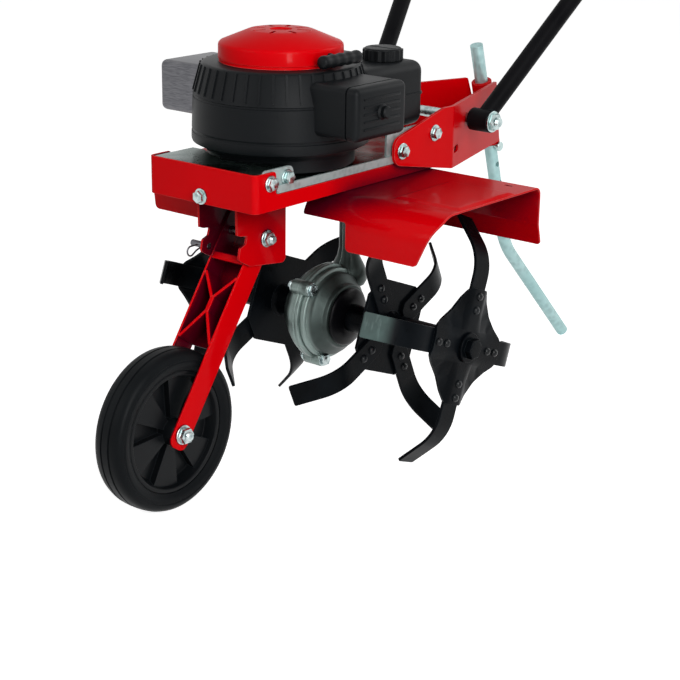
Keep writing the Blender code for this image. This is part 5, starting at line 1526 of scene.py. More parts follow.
@dataclass
class Fork:
    """The swinging fork: two flat arms, a ribbed web between them, and the wheel's axle bolt."""

    pivot: Point3 = (0.0, -152.0, 134.0)
    axle: Point3 = (0.0, -298.0, -78.0)
    arm_width: float = 31.0
    metal: float = 3.0
    gap: float = 51.0
    wheel_room: float = 109.0
    rib: float = 4.2
    cross_top: float = 60.0
    cross: Point2 = (90.0, 109.0)
    tie: float = 38.0
    head: float = 14.0
    foot: float = 19.0
    pivot_hole: float = 5.3
    axle_hole: float = 6.3
    axle_radius: float = 6.0
    axle_nut: HexBolt = HexBolt(10.0, 7.0, 12.0, 2.2, 4.0, 5.6)
    axle_head: HexBolt = HexBolt(10.0, 5.3, 12.0, 2.0)

    @property
    def length(self) -> float:
        """From pivot to axle."""
        return (Vector(self.axle) - Vector(self.pivot)).length

    @property
    def tilt(self) -> Matrix:
        """The turn that leans the fork forward."""
        reach = Vector(self.axle) - Vector(self.pivot)
        return Matrix.Rotation(-math.atan2(-reach.y, -reach.z), 4, "X")

    def arms(self) -> Form:
        """Arms, web, tie and crossed ribs, hanging from the pivot along -Z before the lean.

        Returns:
            The form.
        """
        half, length = self.arm_width / 2, self.length
        turns = [math.pi * k / 16 for k in range(17)]
        arm = [(half * math.cos(t), self.head + half * math.sin(t)) for t in turns]
        toe = -length - self.foot
        arm += rounded([(-half, 1 - length, 0), (-half, toe, 11), (half, toe, 11), (half, 1 - length, 0)])
        holes = [circle((0, 0), self.pivot_hole), circle((0, -length), self.axle_hole)]
        low = self.wheel_room - length
        inside = self.gap / 2
        form = Form.block((-inside - 1, half - self.metal, low), (inside + 1, half - 0.4, -half))
        for side in Side:
            at = (side.value * (inside + self.metal / 2), 0, 0)
            form.add(Form.plate(arm, self.metal, holes).put(at, STANDING))
        front = 0.5 - half
        tie = Form.block(
            (-inside - 1, front, -self.tie - 5), (inside + 1, front + 8, -self.tie + 5), 1.8,
        )
        return form.add(tie).put(self.pivot, self.tilt)

    def ribs(self) -> Form:
        """The deep ribs that cross between the arms.

        Returns:
            The form.
        """
        half = self.arm_width / 2
        inside = self.gap / 2
        high, low = (-along for along in self.cross)
        foot = self.wheel_room - self.length + 1
        spine = self.rib * 0.75
        form = Form.block((-spine, 0.6 - half, low - 2), (spine, half - self.metal, high + 2), 1.4)
        runs = (((inside, -self.cross_top), (1.2, high)), ((inside, foot), (1.2, low)))
        for side in Side:
            for (x0, z0), (x1, z1) in runs:
                start, end = Vector((side.value * x0, 0, z0)), Vector((side.value * x1, 0, z1))
                reach = end - start
                far = reach.length / 2
                rib = Form.block(
                    (-self.rib / 2, 0.4 - half, -far), (self.rib / 2, half - self.metal, far), 1.2,
                )
                lean = Matrix.Rotation(math.atan2(reach.x, reach.z), 4, "Y")
                form.add(rib.put((start + end) / 2, lean))
        return form.put(self.pivot, self.tilt)

    def axle_bolt(self) -> Form:
        """The axle with its flanged nut and thread end."""
        seat = self.gap / 2 + self.metal + FLUSH
        return through_bolt(32, self.axle_radius, seat, self.axle, self.axle_nut, self.axle_head)

    def build(self, shop: Workshop) -> None:
        """Make the fork's pieces."""
        shop.piece(self.arms().add(self.ribs()), "fork_arms", "fork", FORK_RED, ["wheel_fork"], edge=0.7)
        shop.piece(self.axle_bolt(), "axle_bolt", "fork", ZINC, ["wheel_axle"], soft=30)


@dataclass
class Wheel:
    """A grooved rubber tyre on a moulded rim with wedge-shaped windows."""

    axle: Point3 = (0.0, -298.0, -78.0)
    radius: float = 100.0
    width: float = 44.0
    depth: float = 24.0
    rim_width: float = 36.0
    rim_wall: float = 6.0
    hub: float = 17.0
    boss: float = 25.2
    bore: float = 6.3
    web: float = 3.0
    spokes: int = 6
    spoke_depth: float = 12.0
    spoke_spread: Point2 = (21.0, 17.0)
    lead: float = 48.0

    def tyre(self) -> Form:
        """The tyre's section: crowned tread with two grooves, ringed walls and a bead.

        Returns:
            The form.
        """
        half, seat = self.width / 2, self.radius - self.depth
        crown, wall = self.radius, seat + 10
        right = [
            (crown, 0.0), (crown, 4.5), (crown - 1.6, 5.2), (crown - 1.6, 6.8), (crown - 0.2, 7.5),
            (crown - 0.8, 12.5), (crown - 2.6, 17.5), (crown - 5.6, 20.6), (crown - 9.0, 21.8),
            (wall + 3.4, half), (wall + 2.6, half - 0.9), (wall + 1.2, half - 0.9), (wall + 0.4, half),
            (wall - 3, half - 0.2), (wall - 6, half - 1.4), (seat + 1.2, self.rim_width / 2 + 0.6),
            (seat, self.rim_width / 2),
        ]
        left = [(r, -z) for r, z in reversed(right)]
        return Form.turned(right + left[:-1] + [right[0]], 96).put(self.axle, Facing.LEFT)

    def rim(self) -> Form:
        """The rim, hub and spokes, each spoke a wedge panel that widens outwards.

        Returns:
            The form.
        """
        outer = self.radius - self.depth - FLUSH
        edge, wall = self.rim_width / 2, self.rim_wall
        hub, boss, bore = self.hub, self.boss, self.bore
        half = [
            (outer, edge - 1), (outer - 1, edge), (outer - wall + 1, edge), (outer - wall, edge - 1.2),
            (outer - wall - 2.5, edge - 8), (outer - wall - 5, self.web), (hub, self.web), (hub, edge),
            (hub - 2, boss - 1), (hub - 3, boss), (bore + 1.5, boss), (bore, boss - 1.5),
        ]
        other = [(r, -z) for r, z in reversed(half)]
        form = Form.turned(half + other + [half[0]], 96)
        start, end = hub - 2, outer - wall / 2 - 3
        narrow, wide = (math.radians(spread) for spread in self.spoke_spread)
        for k in range(self.spokes):
            middle = math.tau * k / self.spokes + math.radians(self.lead)
            corners = [polar(start, middle + a) for a in (-narrow, 0.0, narrow)]
            corners += [polar(end, middle + a) for a in (wide, wide / 2, 0, -wide / 2, -wide)]
            form.add(Form.plate(rounded(corners), 2 * self.spoke_depth))
        return form.put(self.axle, Facing.LEFT)

    def build(self, shop: Workshop) -> None:
        """Make the wheel's pieces."""
        shop.piece(self.tyre(), "tyre", "wheel", TYRE, ["wheel_tyre"], soft=50)
        shop.piece(self.rim(), "rim", "wheel", RIM_BLACK, ["wheel_rim"], edge=0.9, soft=30)


@dataclass
class Gearbox:
    """The ridged case in two halves, its neck, clamping lugs and the black seal caps."""

    half_width: float = 36.0
    flange: float = 64.0
    band: float = 60.0
    shell: float = 55.0
    boss: float = 42.0
    flange_width: float = 5.0
    band_width: float = 13.0
    neck: float = 25.0
    waist: float = 12.5
    neck_bore: float = 8.4
    worm: float = 46.0
    top: float = 185.7
    pad: float = 38.0
    pad_height: float = 8.0
    lugs: tuple[float, ...] = (138.0, 251.0, 345.0)
    lug_circle: float = 62.0
    lug_radius: float = 10.0
    clamp_head: HexBolt = HexBolt(7.6, 5.0, 9.2, 1.5)
    clamp_nut: HexBolt = HexBolt(7.0, 4.6, 8.8, 1.4, 3.0, 3.6)
    cap: float = 38.0
    cap_depth: float = 10.0
    bore: float = 12.8
    bearing: float = 26.3

    def case(self, side: Side) -> Form:
        """One half of the case from the joint face outwards.

        Args:
            side: the machine's side.

        Returns:
            The form.
        """
        joint, face, bore = FLUSH / 2, self.half_width, self.bearing
        flange, band, shell, boss = self.flange, self.band, self.shell, self.boss
        lip, edge = self.flange_width, self.band_width
        profile = [
            (bore, joint), (flange - 0.8, joint), (flange, joint + 0.8), (flange, lip - 0.8),
            (flange - 0.8, lip), (band - 1.6, lip + 0.4), (band - 1.6, lip + 1.8), (band - 0.2, lip + 2.4),
            (band, edge - 1), (band - 0.8, edge), (shell + 0.6, edge + 0.8), (shell, edge + 2.5),
            (shell - 0.4, edge + 6.5), (shell - 2.2, edge + 9), (shell - 5.5, edge + 11),
            (boss + 5, face - 9), (boss + 1.5, face - 7), (boss, face - 5), (boss - 0.2, face - 1.2),
            (boss - 1.4, face), (bore + 1, face), (bore, face - 1),
        ]
        return Form.turned(profile + [profile[0]], 96).put(turn=side.out)

    def neck_form(self, side: Side) -> Form:
        """The half of the neck and its top pad on one side.

        Args:
            side: the machine's side.

        Returns:
            The form.
        """
        top, r, thin = self.top, self.neck, self.waist
        profile = [
            (0, top - 1), (r + 5, top - 1), (r + 4.4, top - 10), (r + 1.6, top - 18), (r - 3, top - 26),
            (thin + 3, top - 34), (thin, top - 44), (thin, 78), (thin + 2.5, 66), (r - 4, 54), (r, 44),
            (r, 34), (r - 3, 28), (0, 26),
        ]
        square = oblong((-self.pad, -self.pad), (self.pad, self.pad), 9)
        far = 200.0
        low, high = sorted((side.value * FLUSH / 2, -side.value * far))
        form = Form()
        for part in (
            Form.turned(profile, 48).put((0, self.worm, 0)),
            Form.plate(square, self.pad_height).put((0, self.worm, top - self.pad_height / 2)),
        ):
            part.less(Form.block((low, -far, -far), (high, far, far)))
            form.add(part.less(Form.prism(48, self.neck_bore, 0, far + top).put((0, self.worm, 0))))
        return form

    def lug_forms(self, side: Side) -> Form:
        """The clamping lugs of one half.

        Args:
            side: the machine's side.

        Returns:
            The form.
        """
        form = Form()
        r, low, high = self.lug_radius, FLUSH / 2, self.band_width + 1
        for angle in self.lugs:
            post = Form.turned([(0, low), (r, low), (r, high - 1.5), (r - 1.5, high), (0, high)], 28)
            form.add(post.put((0, *polar(self.lug_circle, math.radians(angle))), side.out))
        return form

    def bolts(self) -> Form:
        """The clamp bolts on the left half's lugs and their nuts on the right.

        Returns:
            The form.
        """
        form = Form()
        for side in Side:
            head = self.clamp_head if side is Side.LEFT else self.clamp_nut
            for angle in self.lugs:
                seat = side.value * (self.band_width + 1)
                spot = (seat, *polar(self.lug_circle, math.radians(angle)))
                form.add(head.form().put(spot, side.out))
        return form

    def seal(self, side: Side) -> Form:
        """A domed seal cap over the shaft's bearing.

        Args:
            side: the machine's side.

        Returns:
            The form.
        """
        r, d = self.cap, self.cap_depth
        profile = [
            (self.bore, 0), (r - 1, 0), (r, 1), (r, 2.2), (r - 1.2, 3.6), (r - 4.5, 5.2), (r - 9, 7.2),
            (r - 13, 8.8), (20.0, d), (self.bore + 0.8, d), (self.bore, d - 0.8),
        ]
        at = (side.value * (self.half_width + FLUSH), 0, 0)
        return Form.turned(profile + [profile[0]], 72).put(at, side.out)

    def build(self, shop: Workshop) -> None:
        """Make the gearbox's pieces.

        Args:
            shop: makes the pieces.
        """
        for side in Side:
            word = side.word
            shop.piece(self.case(side), f"case_{word}", "chassis", CASE, [f"gearbox_half_{word}"], soft=50)
            shop.piece(self.neck_form(side), f"case_neck_{word}", "chassis", CAST, soft=45)
            shop.piece(self.lug_forms(side), f"case_lugs_{word}", "chassis", CASE, soft=50)
            shop.piece(self.seal(side), f"seal_dome_{word}", "chassis", SEAL, [f"seal_cap_{word}"], soft=60)
        shop.piece(self.bolts(), "case_bolts", "chassis", ZINC, soft=30)


@dataclass
class Rotor:
    """The tine shaft: hub tubes with pressed star and square plates, and sixteen bent, riveted blades."""

    shaft: float = 12.5
    tube: float = 18.0
    tube_start: float = 46.6
    inner: float = 105.0
    outer: float = 225.0
    right_set_in: float = 28.0
    plate: float = 4.0
    reach: float = 73.0
    arm: float = 34.0
    arm_corner: float = 10.0
    waist: float = 59.0
    waist_corner: float = 30.0
    square: float = 66.0
    dish: float = 6.0
    blade_width: float = 31.0
    blade: float = 4.0
    root: float = 25.0
    bend_start: float = 88.0
    bend_radius: float = 60.0
    bend_angle: float = 45.0
    tip: float = 37.5
    outer_angle: float = 69.5
    inner_angle: float = 24.0
    rivets: Point2 = (46.5, 64.0)
    rivet: float = 5.4
    # The blade whose tip carries the painted reflection.
    worn: str = "outer_left_2"

    def at(self, station: float, side: Side) -> float:
        """A plate's distance from the middle; the right-hand set sits nearer the gearbox."""
        return station - (self.right_set_in if side is Side.RIGHT else 0.0)

    def star(self) -> Form:
        """The outer plate: four ribbed arms with the metal between them pressed back.

        Returns:
            The form.
        """
        half = self.arm / 2
        corners: list[tuple[float, ...]] = []
        for k in range(4):
            spin = Matrix.Rotation(QUARTER * k, 2)
            between = Matrix.Rotation(QUARTER * k + QUARTER / 2, 2)
            for y in (-half, half):
                corners.append((*(spin @ Vector((self.reach, y))), self.arm_corner))
            corners.append((*(between @ Vector((self.waist, 0))), self.waist_corner))
        outline = rounded(corners, 6)
        cuts = []
        for k in range(4):
            turn = QUARTER / 2 * k
            along = (math.cos(turn), math.sin(turn), 0.0)
            for step in (-21, -17, -13, -9, 9, 13, 17, 21):
                cuts.append(((along[0] * step, along[1] * step, 0.0), along))
            cuts.append(((0, 0, 0), along))
        for step in range(-60, 61, 20):
            cuts += [((step + 0.1, 0, 0), (1, 0, 0)), ((0, step + 0.1, 0), (0, 1, 0))]

        def press(x: float, y: float) -> Point3:
            """Push the metal between the arms back, which leaves a rib along each arm.

            Args:
                x: flat place across.
                y: flat place along.

            Returns:
                Where the point goes.
            """
            off = min(abs(x), abs(y))
            out = max(0.0, min(1.0, (math.hypot(x, y) - 24.0) / 20.0))
            return (x, y, -self.dish * smooth((off - 8.0) / 22.0) * out)

        return Form.folded(outline, cuts, press)

    def square_plate(self) -> Form:
        """The inner plate: a square with cut corners.

        Returns:
            The form.
        """
        half = self.arm / 2
        corners: list[tuple[float, ...]] = []
        for k in range(4):
            spin = Matrix.Rotation(QUARTER * k, 2)
            for y in (-half, half):
                corners.append((*(spin @ Vector((self.square, y))), 3.0))
        return Form.plate(rounded(corners), self.plate, [circle((0, 0), 15.0, 48)])

    def hub(self, side: Side) -> Form:
        """The hub tube along X with its weld beads and the square plate.

        Args:
            side: the machine's side.

        Returns:
            The form.
        """
        bore = self.shaft + FLUSH
        inner, outer = self.at(self.inner, side), self.at(self.outer, side)
        r, start, end = self.tube, self.tube_start, outer - self.plate
        profile = [(bore, start), (r - 0.8, start), (r, start + 0.8)]
        for spot in (inner, end + 1):
            profile += [(r, spot - 8), (r + 1.8, spot - 5), (r + 3.8, spot - 2.6), (r + 4.2, spot - 1.5)]
            if spot == inner:
                profile += [(r + 4.2, spot + 1.5), (r + 3.8, spot + 2.6), (r + 1.8, spot + 5), (r, spot + 8)]
        profile += [(bore, end)]
        lie = Matrix.Rotation(math.radians(self.inner_angle), 4, "X") @ STANDING
        form = Form.turned(profile + [profile[0]], 56).put(turn=side.out)
        return form.add(self.square_plate().put((side.value * inner, 0, 0), lie))

    def strip(self, bend: int) -> Form:
        """A blade's middle surface, standing along +Z from the shaft.

        Args:
            bend: 1 to turn towards +X and -1 towards -X.

        Returns:
            The form.
        """
        path = Bends((0.0, 0.0), 0.0).straight(self.bend_start - self.root)
        path.bend(self.bend_radius, bend * math.radians(self.bend_angle)).straight(self.tip)
        half, end = self.blade_width / 2, path.length
        outline = rounded([
            (-half, 9, 2), (-half + 8, 0, 2), (half - 8, 0, 2), (half, 9, 2), (half, end, 2.5),
            (-half, end, 2.5),
        ], 4)

        def fold(across: float, along: float) -> Point3:
            """Bend the strip across its length."""
            spot = path.at(along)
            return (spot.y, across, self.root + spot.x)

        return Form.folded(outline, path.scores(14), fold)

    def rivet_heads(self, angle: float, plane: float, side: Side) -> Form:
        """The two domed rivet heads of one blade, on the face that looks out of the machine.

        Args:
            angle: the blade's angle in degrees.
            plane: X of the face that carries them.
            side: the side that they look to.

        Returns:
            The form.
        """
        form = Form()
        r = self.rivet
        dome = [(0, 4.2), (r * 0.35, 3.9), (r * 0.68, 2.9), (r * 0.9, 1.5), (r, 0.0), (r, -0.6), (0, -0.6)]
        for far in self.rivets:
            spot = (plane, *polar(far, math.radians(angle)))
            form.add(Form.turned(dome, 20).put(spot, side.out))
        return form

    def shaft_form(self) -> Form:
        """The shaft with a washer and a big hexagon bolt at each end.

        Returns:
            The form.
        """
        past = self.plate / 2 + FLUSH
        low, high = -self.at(self.outer, Side.RIGHT) - past, self.outer + past
        form = Form.prism(48, self.shaft, low, high).put(turn=Facing.LEFT)
        for side in Side:
            end = self.at(self.outer, side) + past
            disc = Form.turned([(0, 0), (18.4, 0), (19, 0.6), (19, 3.2), (18.2, 4), (0, 4)], 48)
            head = Form.prism(6, 13.5, 3.8, 13.0, 1.1)
            face = Form.turned([(0, 13.0), (10.6, 13.0), (9.8, 13.4), (0, 13.4)], 32)
            form.add(disc.add(head, face).put((side.value * end, 0, 0), side.out))
        return form

    def build(self, shop: Workshop) -> None:
        """Make the rotor's pieces.

        Args:
            shop: makes the pieces.
        """
        shop.piece(self.shaft_form(), "shaft_and_bolts", "rotor", BLACK, ["tine_shaft"], edge=0.5, soft=30)
        gap = self.plate / 2 + FLUSH + self.blade / 2
        for side in Side:
            word = side.word
            shop.piece(
                self.hub(side), f"hub_{word}", "rotor", BLACK, [f"tine_hub_{word}"], edge=0.5, soft=35,
            )
            lie = Matrix.Rotation(math.radians(self.outer_angle), 4, "X") @ STANDING
            star = self.star()
            if side is Side.RIGHT:
                bmesh.ops.scale(star.mesh, vec=(1, 1, -1), verts=star.mesh.verts)
                bmesh.ops.reverse_faces(star.mesh, faces=star.mesh.faces)
            star.put((side.value * self.at(self.outer, side), 0, 0), lie)
            shop.piece(star, f"star_plate_{word}", "rotor", BLACK, wall=self.plate, edge=0.6, soft=35)
            heads = Form()
            for place, station, angle, bends, face in (
                ("outer", self.at(self.outer, side), self.outer_angle, (-1, -1, -1, -1), -1),
                ("inner", self.at(self.inner, side), self.inner_angle, (-1, 1, -1, 1), 1),
            ):
                for k, bend in enumerate(bends):
                    turn = angle + 90 * k
                    radial = Matrix.Rotation(math.radians(turn - 90), 4, "X")
                    spot = (side.value * (station + face * gap), 0, 0)
                    name = f"{place}_{word}_{k + 1}"
                    blade = self.strip(bend * side.value).put(spot, radial)
                    # The chosen blade gets the black with a painted reflection on its tip.
                    look = TIP_REFLECTION_BLACK if name == self.worn else BLACK
                    shop.piece(
                        blade, f"blade_{name}", "rotor", look, [f"tine_{name}"], wall=self.blade,
                        edge=0.7, soft=35,
                    )
                    top = station + (self.plate / 2 if face < 0 else gap + self.blade / 2)
                    heads.add(self.rivet_heads(turn, side.value * top, side))
            shop.piece(heads, f"rivets_{word}", "rotor", RIVET_BLACK, soft=60)
        shop.dress(BRONZE, "worm_wheel")


@dataclass
class DragBar:
    """The bent drag bar, its holes and the pin under the socket."""

    radius: float = 9.0
    tilt: float = 16.7
    point: Point2 = (369.0, 161.0)
    top: float = 312.0
    knee: float = 8.0
    heel_tilt: float = 45.0
    knee_radius: float = 120.0
    socket_low: float = 168.0
    socket: float = 14.3
    pin: float = 3.7
    pitch: float = 30.0
    holes: int = 3
    ground: float = -178.0

    def axis(self, height: float) -> Point2:
        """The straight part's (Y, Z) at a height."""
        return (self.point[0] + (self.point[1] - height) * math.tan(math.radians(self.tilt)), height)

    def bar(self) -> Form:
        """The bar with its row of holes.

        Returns:
            The form.
        """
        slope = math.radians(self.heel_tilt)
        knee = self.axis(self.knee)
        low = self.ground + self.radius * math.sin(slope)
        foot = (knee[0] + (knee[1] - low) * math.tan(slope), low)
        run = eased([(0, *self.axis(self.top)), (0, *knee), (0, *foot)], self.knee_radius, 14)
        form = Form.tube(run, self.radius, 40)
        lean = math.cos(math.radians(self.tilt))
        for k in range(self.holes):
            down = self.socket_low - (self.pin + FLUSH + self.pitch * k) * lean
            hole = Form.prism(24, self.pin + FLUSH, -30, 30).put((0, *self.axis(down)), Facing.LEFT)
            form = form.less(hole)
        return form

    def pin_form(self) -> Form:
        """The headed pin.

        Returns:
            The form.
        """
        r, head = self.pin, self.socket + FLUSH
        profile = [
            (0, head + 4), (r + 2.2, head + 4), (r + 3, head + 3.2), (r + 3, head), (r, head),
            (r, -head - 6.5), (r - 1, -head - 8), (0, -head - 8),
        ]
        lean = math.cos(math.radians(self.tilt))
        spot = self.axis(self.socket_low - (self.pin + FLUSH) * lean)
        return Form.turned(profile, 28).put((0, *spot), Facing.LEFT)

    def build(self, shop: Workshop) -> None:
        """Make the drag bar's pieces."""
        shop.piece(self.bar(), "drag_tube", "drag", GALVANISED, ["drag_bar"], edge=0.5, soft=40)
        shop.piece(self.pin_form(), "drag_stop", "drag", ZINC, ["drag_pin"])


@dataclass
class Engine:
    """The engine: blower housing, slotted starter cover with its grip, tank, air cleaner and muffler."""

    crank: float = -90.0
    skirt: float = 91.0
    skirt_low: float = 218.0
    skirt_top: float = 234.0
    flare: float = 109.0
    flare_top: float = 243.0
    shoulder: float = 107.0
    shoulder_at: float = 300.0
    top: float = 338.0
    top_radius: float = 97.0
    mouth: float = 66.0
    shell: float = 3.0
    cover: float = 76.0
    cover_height: float = 38.0
    brow: float = 22.0
    vents: int = 8
    vent: Point3 = (20.0, 18.0, 5.0)
    ribs: int = 40
    rib_width: float = 2.4
    tank_low: Point3 = (-78.0, -27.0, 244.0)
    tank_high: Point3 = (78.0, 100.0, 326.0)
    tank_edge: float = 14.0
    neck: Point3 = (38.0, 62.0, 326.0)
    cap: float = 26.0
    cap_height: float = 16.0
    box_low: Point3 = (53.0, -140.0, 265.0)
    box_high: Point3 = (158.0, -44.0, 328.0)
    box_edge: float = 8.0
    seam: float = 142.0
    louvres: int = 4
    hood_lean: float = -24.0

    def housing(self) -> Form:
        """The blower housing with its grooves and the ribs on its shoulder.

        Returns:
            The form.
        """
        wall, top, rim = self.shell, self.top, self.top_radius
        shoulder, level = self.shoulder, self.shoulder_at
        flare, hem = self.flare, self.flare_top
        skirt, low, high = self.skirt, self.skirt_low, self.skirt_top
        outer = [
            (self.mouth, top), (rim - 5, top), (rim - 1.6, top - 1), (rim + 0.4, top - 3.4),
            (shoulder - 0.8, level + 2.6), (shoulder + 0.1, level), (shoulder - 0.9, level - 1),
            (shoulder - 0.9, level - 3), (shoulder + 0.2, level - 4), (flare - 0.4, hem + 16),
            (flare - 1.2, hem + 15), (flare - 1.2, hem + 12.5), (flare - 0.2, hem + 11.5), (flare, hem + 3),
            (flare - 1, hem), (skirt + 2, high + 1), (skirt, high - 2), (skirt, low + 1), (skirt - 1, low),
            (skirt - wall, low),
        ]
        inner = [
            (skirt - wall, high), (flare - wall, hem + 2), (shoulder - wall, level - 2),
            (rim - wall, top - wall), (self.mouth, top - wall),
        ]
        form = Form.turned(outer + inner + [outer[0]], 112)
        slope = [(rim - 1, top - 2.4), (shoulder - 2, level + 3)]
        slope += [(r + 2.6, z + 0.8) for r, z in reversed(slope)]
        for k in range(self.ribs):
            rib = Form.plate(slope, self.rib_width).put(turn=Facing.FRONT)
            form.add(rib.put(turn=Matrix.Rotation(math.tau * k / self.ribs, 4, "Z")))
        return form.put((0, self.crank, 0))

    def starter(self) -> Form:
        """The domed starter cover with radial vents round a pressed boss.

        Returns:
            The form.
        """
        wall, base = self.shell, self.top + FLUSH
        crown, brow = base + self.cover_height, base + self.brow
        edge, flat = self.cover, self.cover - self.cover_height
        profile = [
            (0, crown - 2), (12, crown - 2), (14, crown), (flat - 3, crown), (flat + 2, crown - 0.8),
            (edge - 2.5, brow + 1.4), (edge - 0.6, brow - 0.6), (edge, brow - 3), (edge, base + 4),
            (edge - 0.9, base + 3), (edge - 0.9, base), (edge - wall, base), (edge - wall, brow - 2.5),
            (flat - 1, crown - wall), (0, crown - wall - 1.5),
        ]
        form = Form.turned(profile, 96)
        slots = Form()
        start, length, width = self.vent
        for k in range(self.vents):
            slot = Form.block((start, -width / 2, brow), (start + length, width / 2, crown + 9))
            slots.add(slot.put(turn=Matrix.Rotation(math.tau * (k + 0.5) / self.vents, 4, "Z")))
        return form.less(slots).put((0, self.crank, 0))

    def grip(self) -> Form:
        """The starter's rippled T-grip on its stem.

        Returns:
            The form.
        """
        height = self.top + FLUSH + self.brow / 2
        start = self.cover + FLUSH
        stem = Form.turned([(0, 16), (5, 15), (5, 3), (6, 1.5), (6, 0), (0, 0)], 28)
        stem.put((start, self.crank, height), Facing.LEFT)
        bar = [(0, 35), (5, 35), (7.2, 33.6), (8, 31)]
        bar += [(8 - 0.9 * math.sin(math.pi * k / 4) ** 2, 28 - 3.5 * k) for k in range(17)]
        bar += [(8, -31), (7.2, -33.6), (5, -35), (0, -35)]
        return stem.add(Form.turned(bar, 32).put((start + 16, self.crank, height), Facing.FRONT))

    def room(self) -> Form:
        """The space the housing takes out of the pieces round it.

        Returns:
            The form.
        """
        far, rim, skirt = self.top + 20, self.top_radius + FLUSH, self.skirt + FLUSH
        outline = [
            (0, far), (rim, far), (rim, self.top + FLUSH), (self.shoulder + FLUSH, self.shoulder_at + FLUSH),
            (self.flare + FLUSH, self.flare_top), (skirt, self.skirt_top), (skirt, self.skirt_low),
            (0, self.skirt_low),
        ]
        return Form.turned(outline, 112).put((0, self.crank, 0))

    def tank(self) -> Form:
        """The rounded fuel tank with its moulding seam and filler neck.

        Returns:
            The form.
        """
        low, high = Vector(self.tank_low), Vector(self.tank_high)
        form = Form.block(self.tank_low, self.tank_high, self.tank_edge, 6).less(self.room())
        edge = 1.4
        seam = rounded([
            (low.x - edge, low.y, 4), (high.x + edge, low.y, 4), (high.x + edge, high.y + edge, 15),
            (low.x - edge, high.y + edge, 15),
        ], 8)
        band = Form.plate(seam, 2.6).put((0, 0, (low.z + high.z) / 2)).less(self.room())
        neck = Form.turned([(0, -4), (20, -4), (19, 0), (17, 1), (17, 9), (0, 9)], 40).put(self.neck)
        return form.add(band, neck)

    def cap_form(self) -> Form:
        """The scalloped fuel cap with a raised bar across it.

        Returns:
            The form.
        """
        turns = [math.tau * k / 96 for k in range(96)]
        radii = [self.cap - 0.9 * (1 - math.cos(16 * t)) for t in turns]
        outline = [polar(r, t) for r, t in zip(radii, turns)]
        form = Form.plate(outline, self.cap_height - 2.5, [circle((0, 0), 17.3, 40)])
        form.put((0, 0, (self.cap_height - 2.5) / 2 + FLUSH))
        lid = self.cap_height
        disc = [(0, lid - 6), (23.5, lid - 6), (23.5, lid - 1.2), (22, lid - 0.3), (0, lid - 0.3)]
        form.add(Form.turned(disc, 56))
        form.add(Form.block((-19, -4, lid - 1.5), (19, 4, lid + 0.3), 0.8, 2))
        return form.put(self.neck)

    def cleaner(self) -> Form:
        """The air cleaner's box, its cover seam, ribs and knob.

        Returns:
            The form.
        """
        (_, y0, z0), (x1, y1, z1) = self.box_low, self.box_high
        form = Form.block(self.box_low, self.box_high, self.box_edge, 5).less(self.room())
        far = 40.0
        core = oblong((y0 + 2, z0 + 2), (y1 - 2, z1 - 2), 7)
        groove = Form.plate(oblong((y0 - far, z0 - far), (y1 + far, z1 + far)), 2.5, [core])
        form = form.less(groove.put((self.seam, 0, 0), STANDING))
        for k in range(5):
            level = z0 + 14 + k * (z1 - z0 - 28) / 4
            form.add(Form.block((x1 - 2, y0 + 14, level - 1.6), (x1 + 1.2, y1 - 14, level + 1.6), 0.9, 2))
        knob = Form.turned([(0, 9), (6, 9), (7.4, 7.6), (7.4, 3), (9.5, 1.2), (9.5, -1), (0, -1)], 36)
        return form.add(knob.put((x1, (y0 + y1) / 2, (z0 + z1) / 2), Facing.LEFT))

    def muffler(self) -> Form:
        """The muffler box with hooded louvres.

        Returns:
            The form.
        """
        (x0, y0, z0), (x1, y1, z1) = self.box_low, self.box_high
        form = Form.block((-x1, y0, z0), (-x0, y1, z1), self.box_edge, 5).less(self.room())
        levels = [z0 + (z1 - z0) * k / (self.louvres + 1) for k in range(1, self.louvres + 1)]
        slots = Form()
        for level in levels:
            slots.add(Form.block((-x1 - 1, y0 + 16, level - 2.5), (5 - x1, y1 - 16, level + 2.5), 1.0, 2))
        form = form.less(slots)
        lean = Matrix.Rotation(math.radians(self.hood_lean), 4, "Y") @ Matrix.Scale(-1, 4, (1, 0, 0))
        for level in levels:
            hood = Form.block((-1.2, y0 + 15, -0.6), (6.5, y1 - 15, 0.6))
            form.add(hood.put((1 - x1, 0, level + 1.6), lean).closed())
        return form

    def build(self, shop: Workshop) -> None:
        """Make the engine's pieces.

        Args:
            shop: makes the pieces.
        """
        shop.piece(self.housing(), "blower_shell", "chassis", MOULDED, ["blower_housing"], soft=40)
        shop.piece(self.starter(), "starter_dome", "chassis", RED, ["recoil_cover"], soft=35)
        shop.piece(self.grip(), "pull_grip", "starter", MOULDED, ["starter_grip"], soft=50)
        shop.piece(self.tank(), "tank_shell", "chassis", MOULDED, ["fuel_tank"], soft=35)
        shop.piece(self.cap_form(), "filler_cap", "cap", MOULDED, ["fuel_cap"], edge=0.7, soft=40)
        shop.piece(self.cleaner(), "air_box", "chassis", MOULDED, ["air_cleaner"], soft=35)
        shop.piece(self.muffler(), "muffler_box", "chassis", DARK_STEEL, ["muffler"], soft=35)
        shop.dress(BLACK, "crankcase")


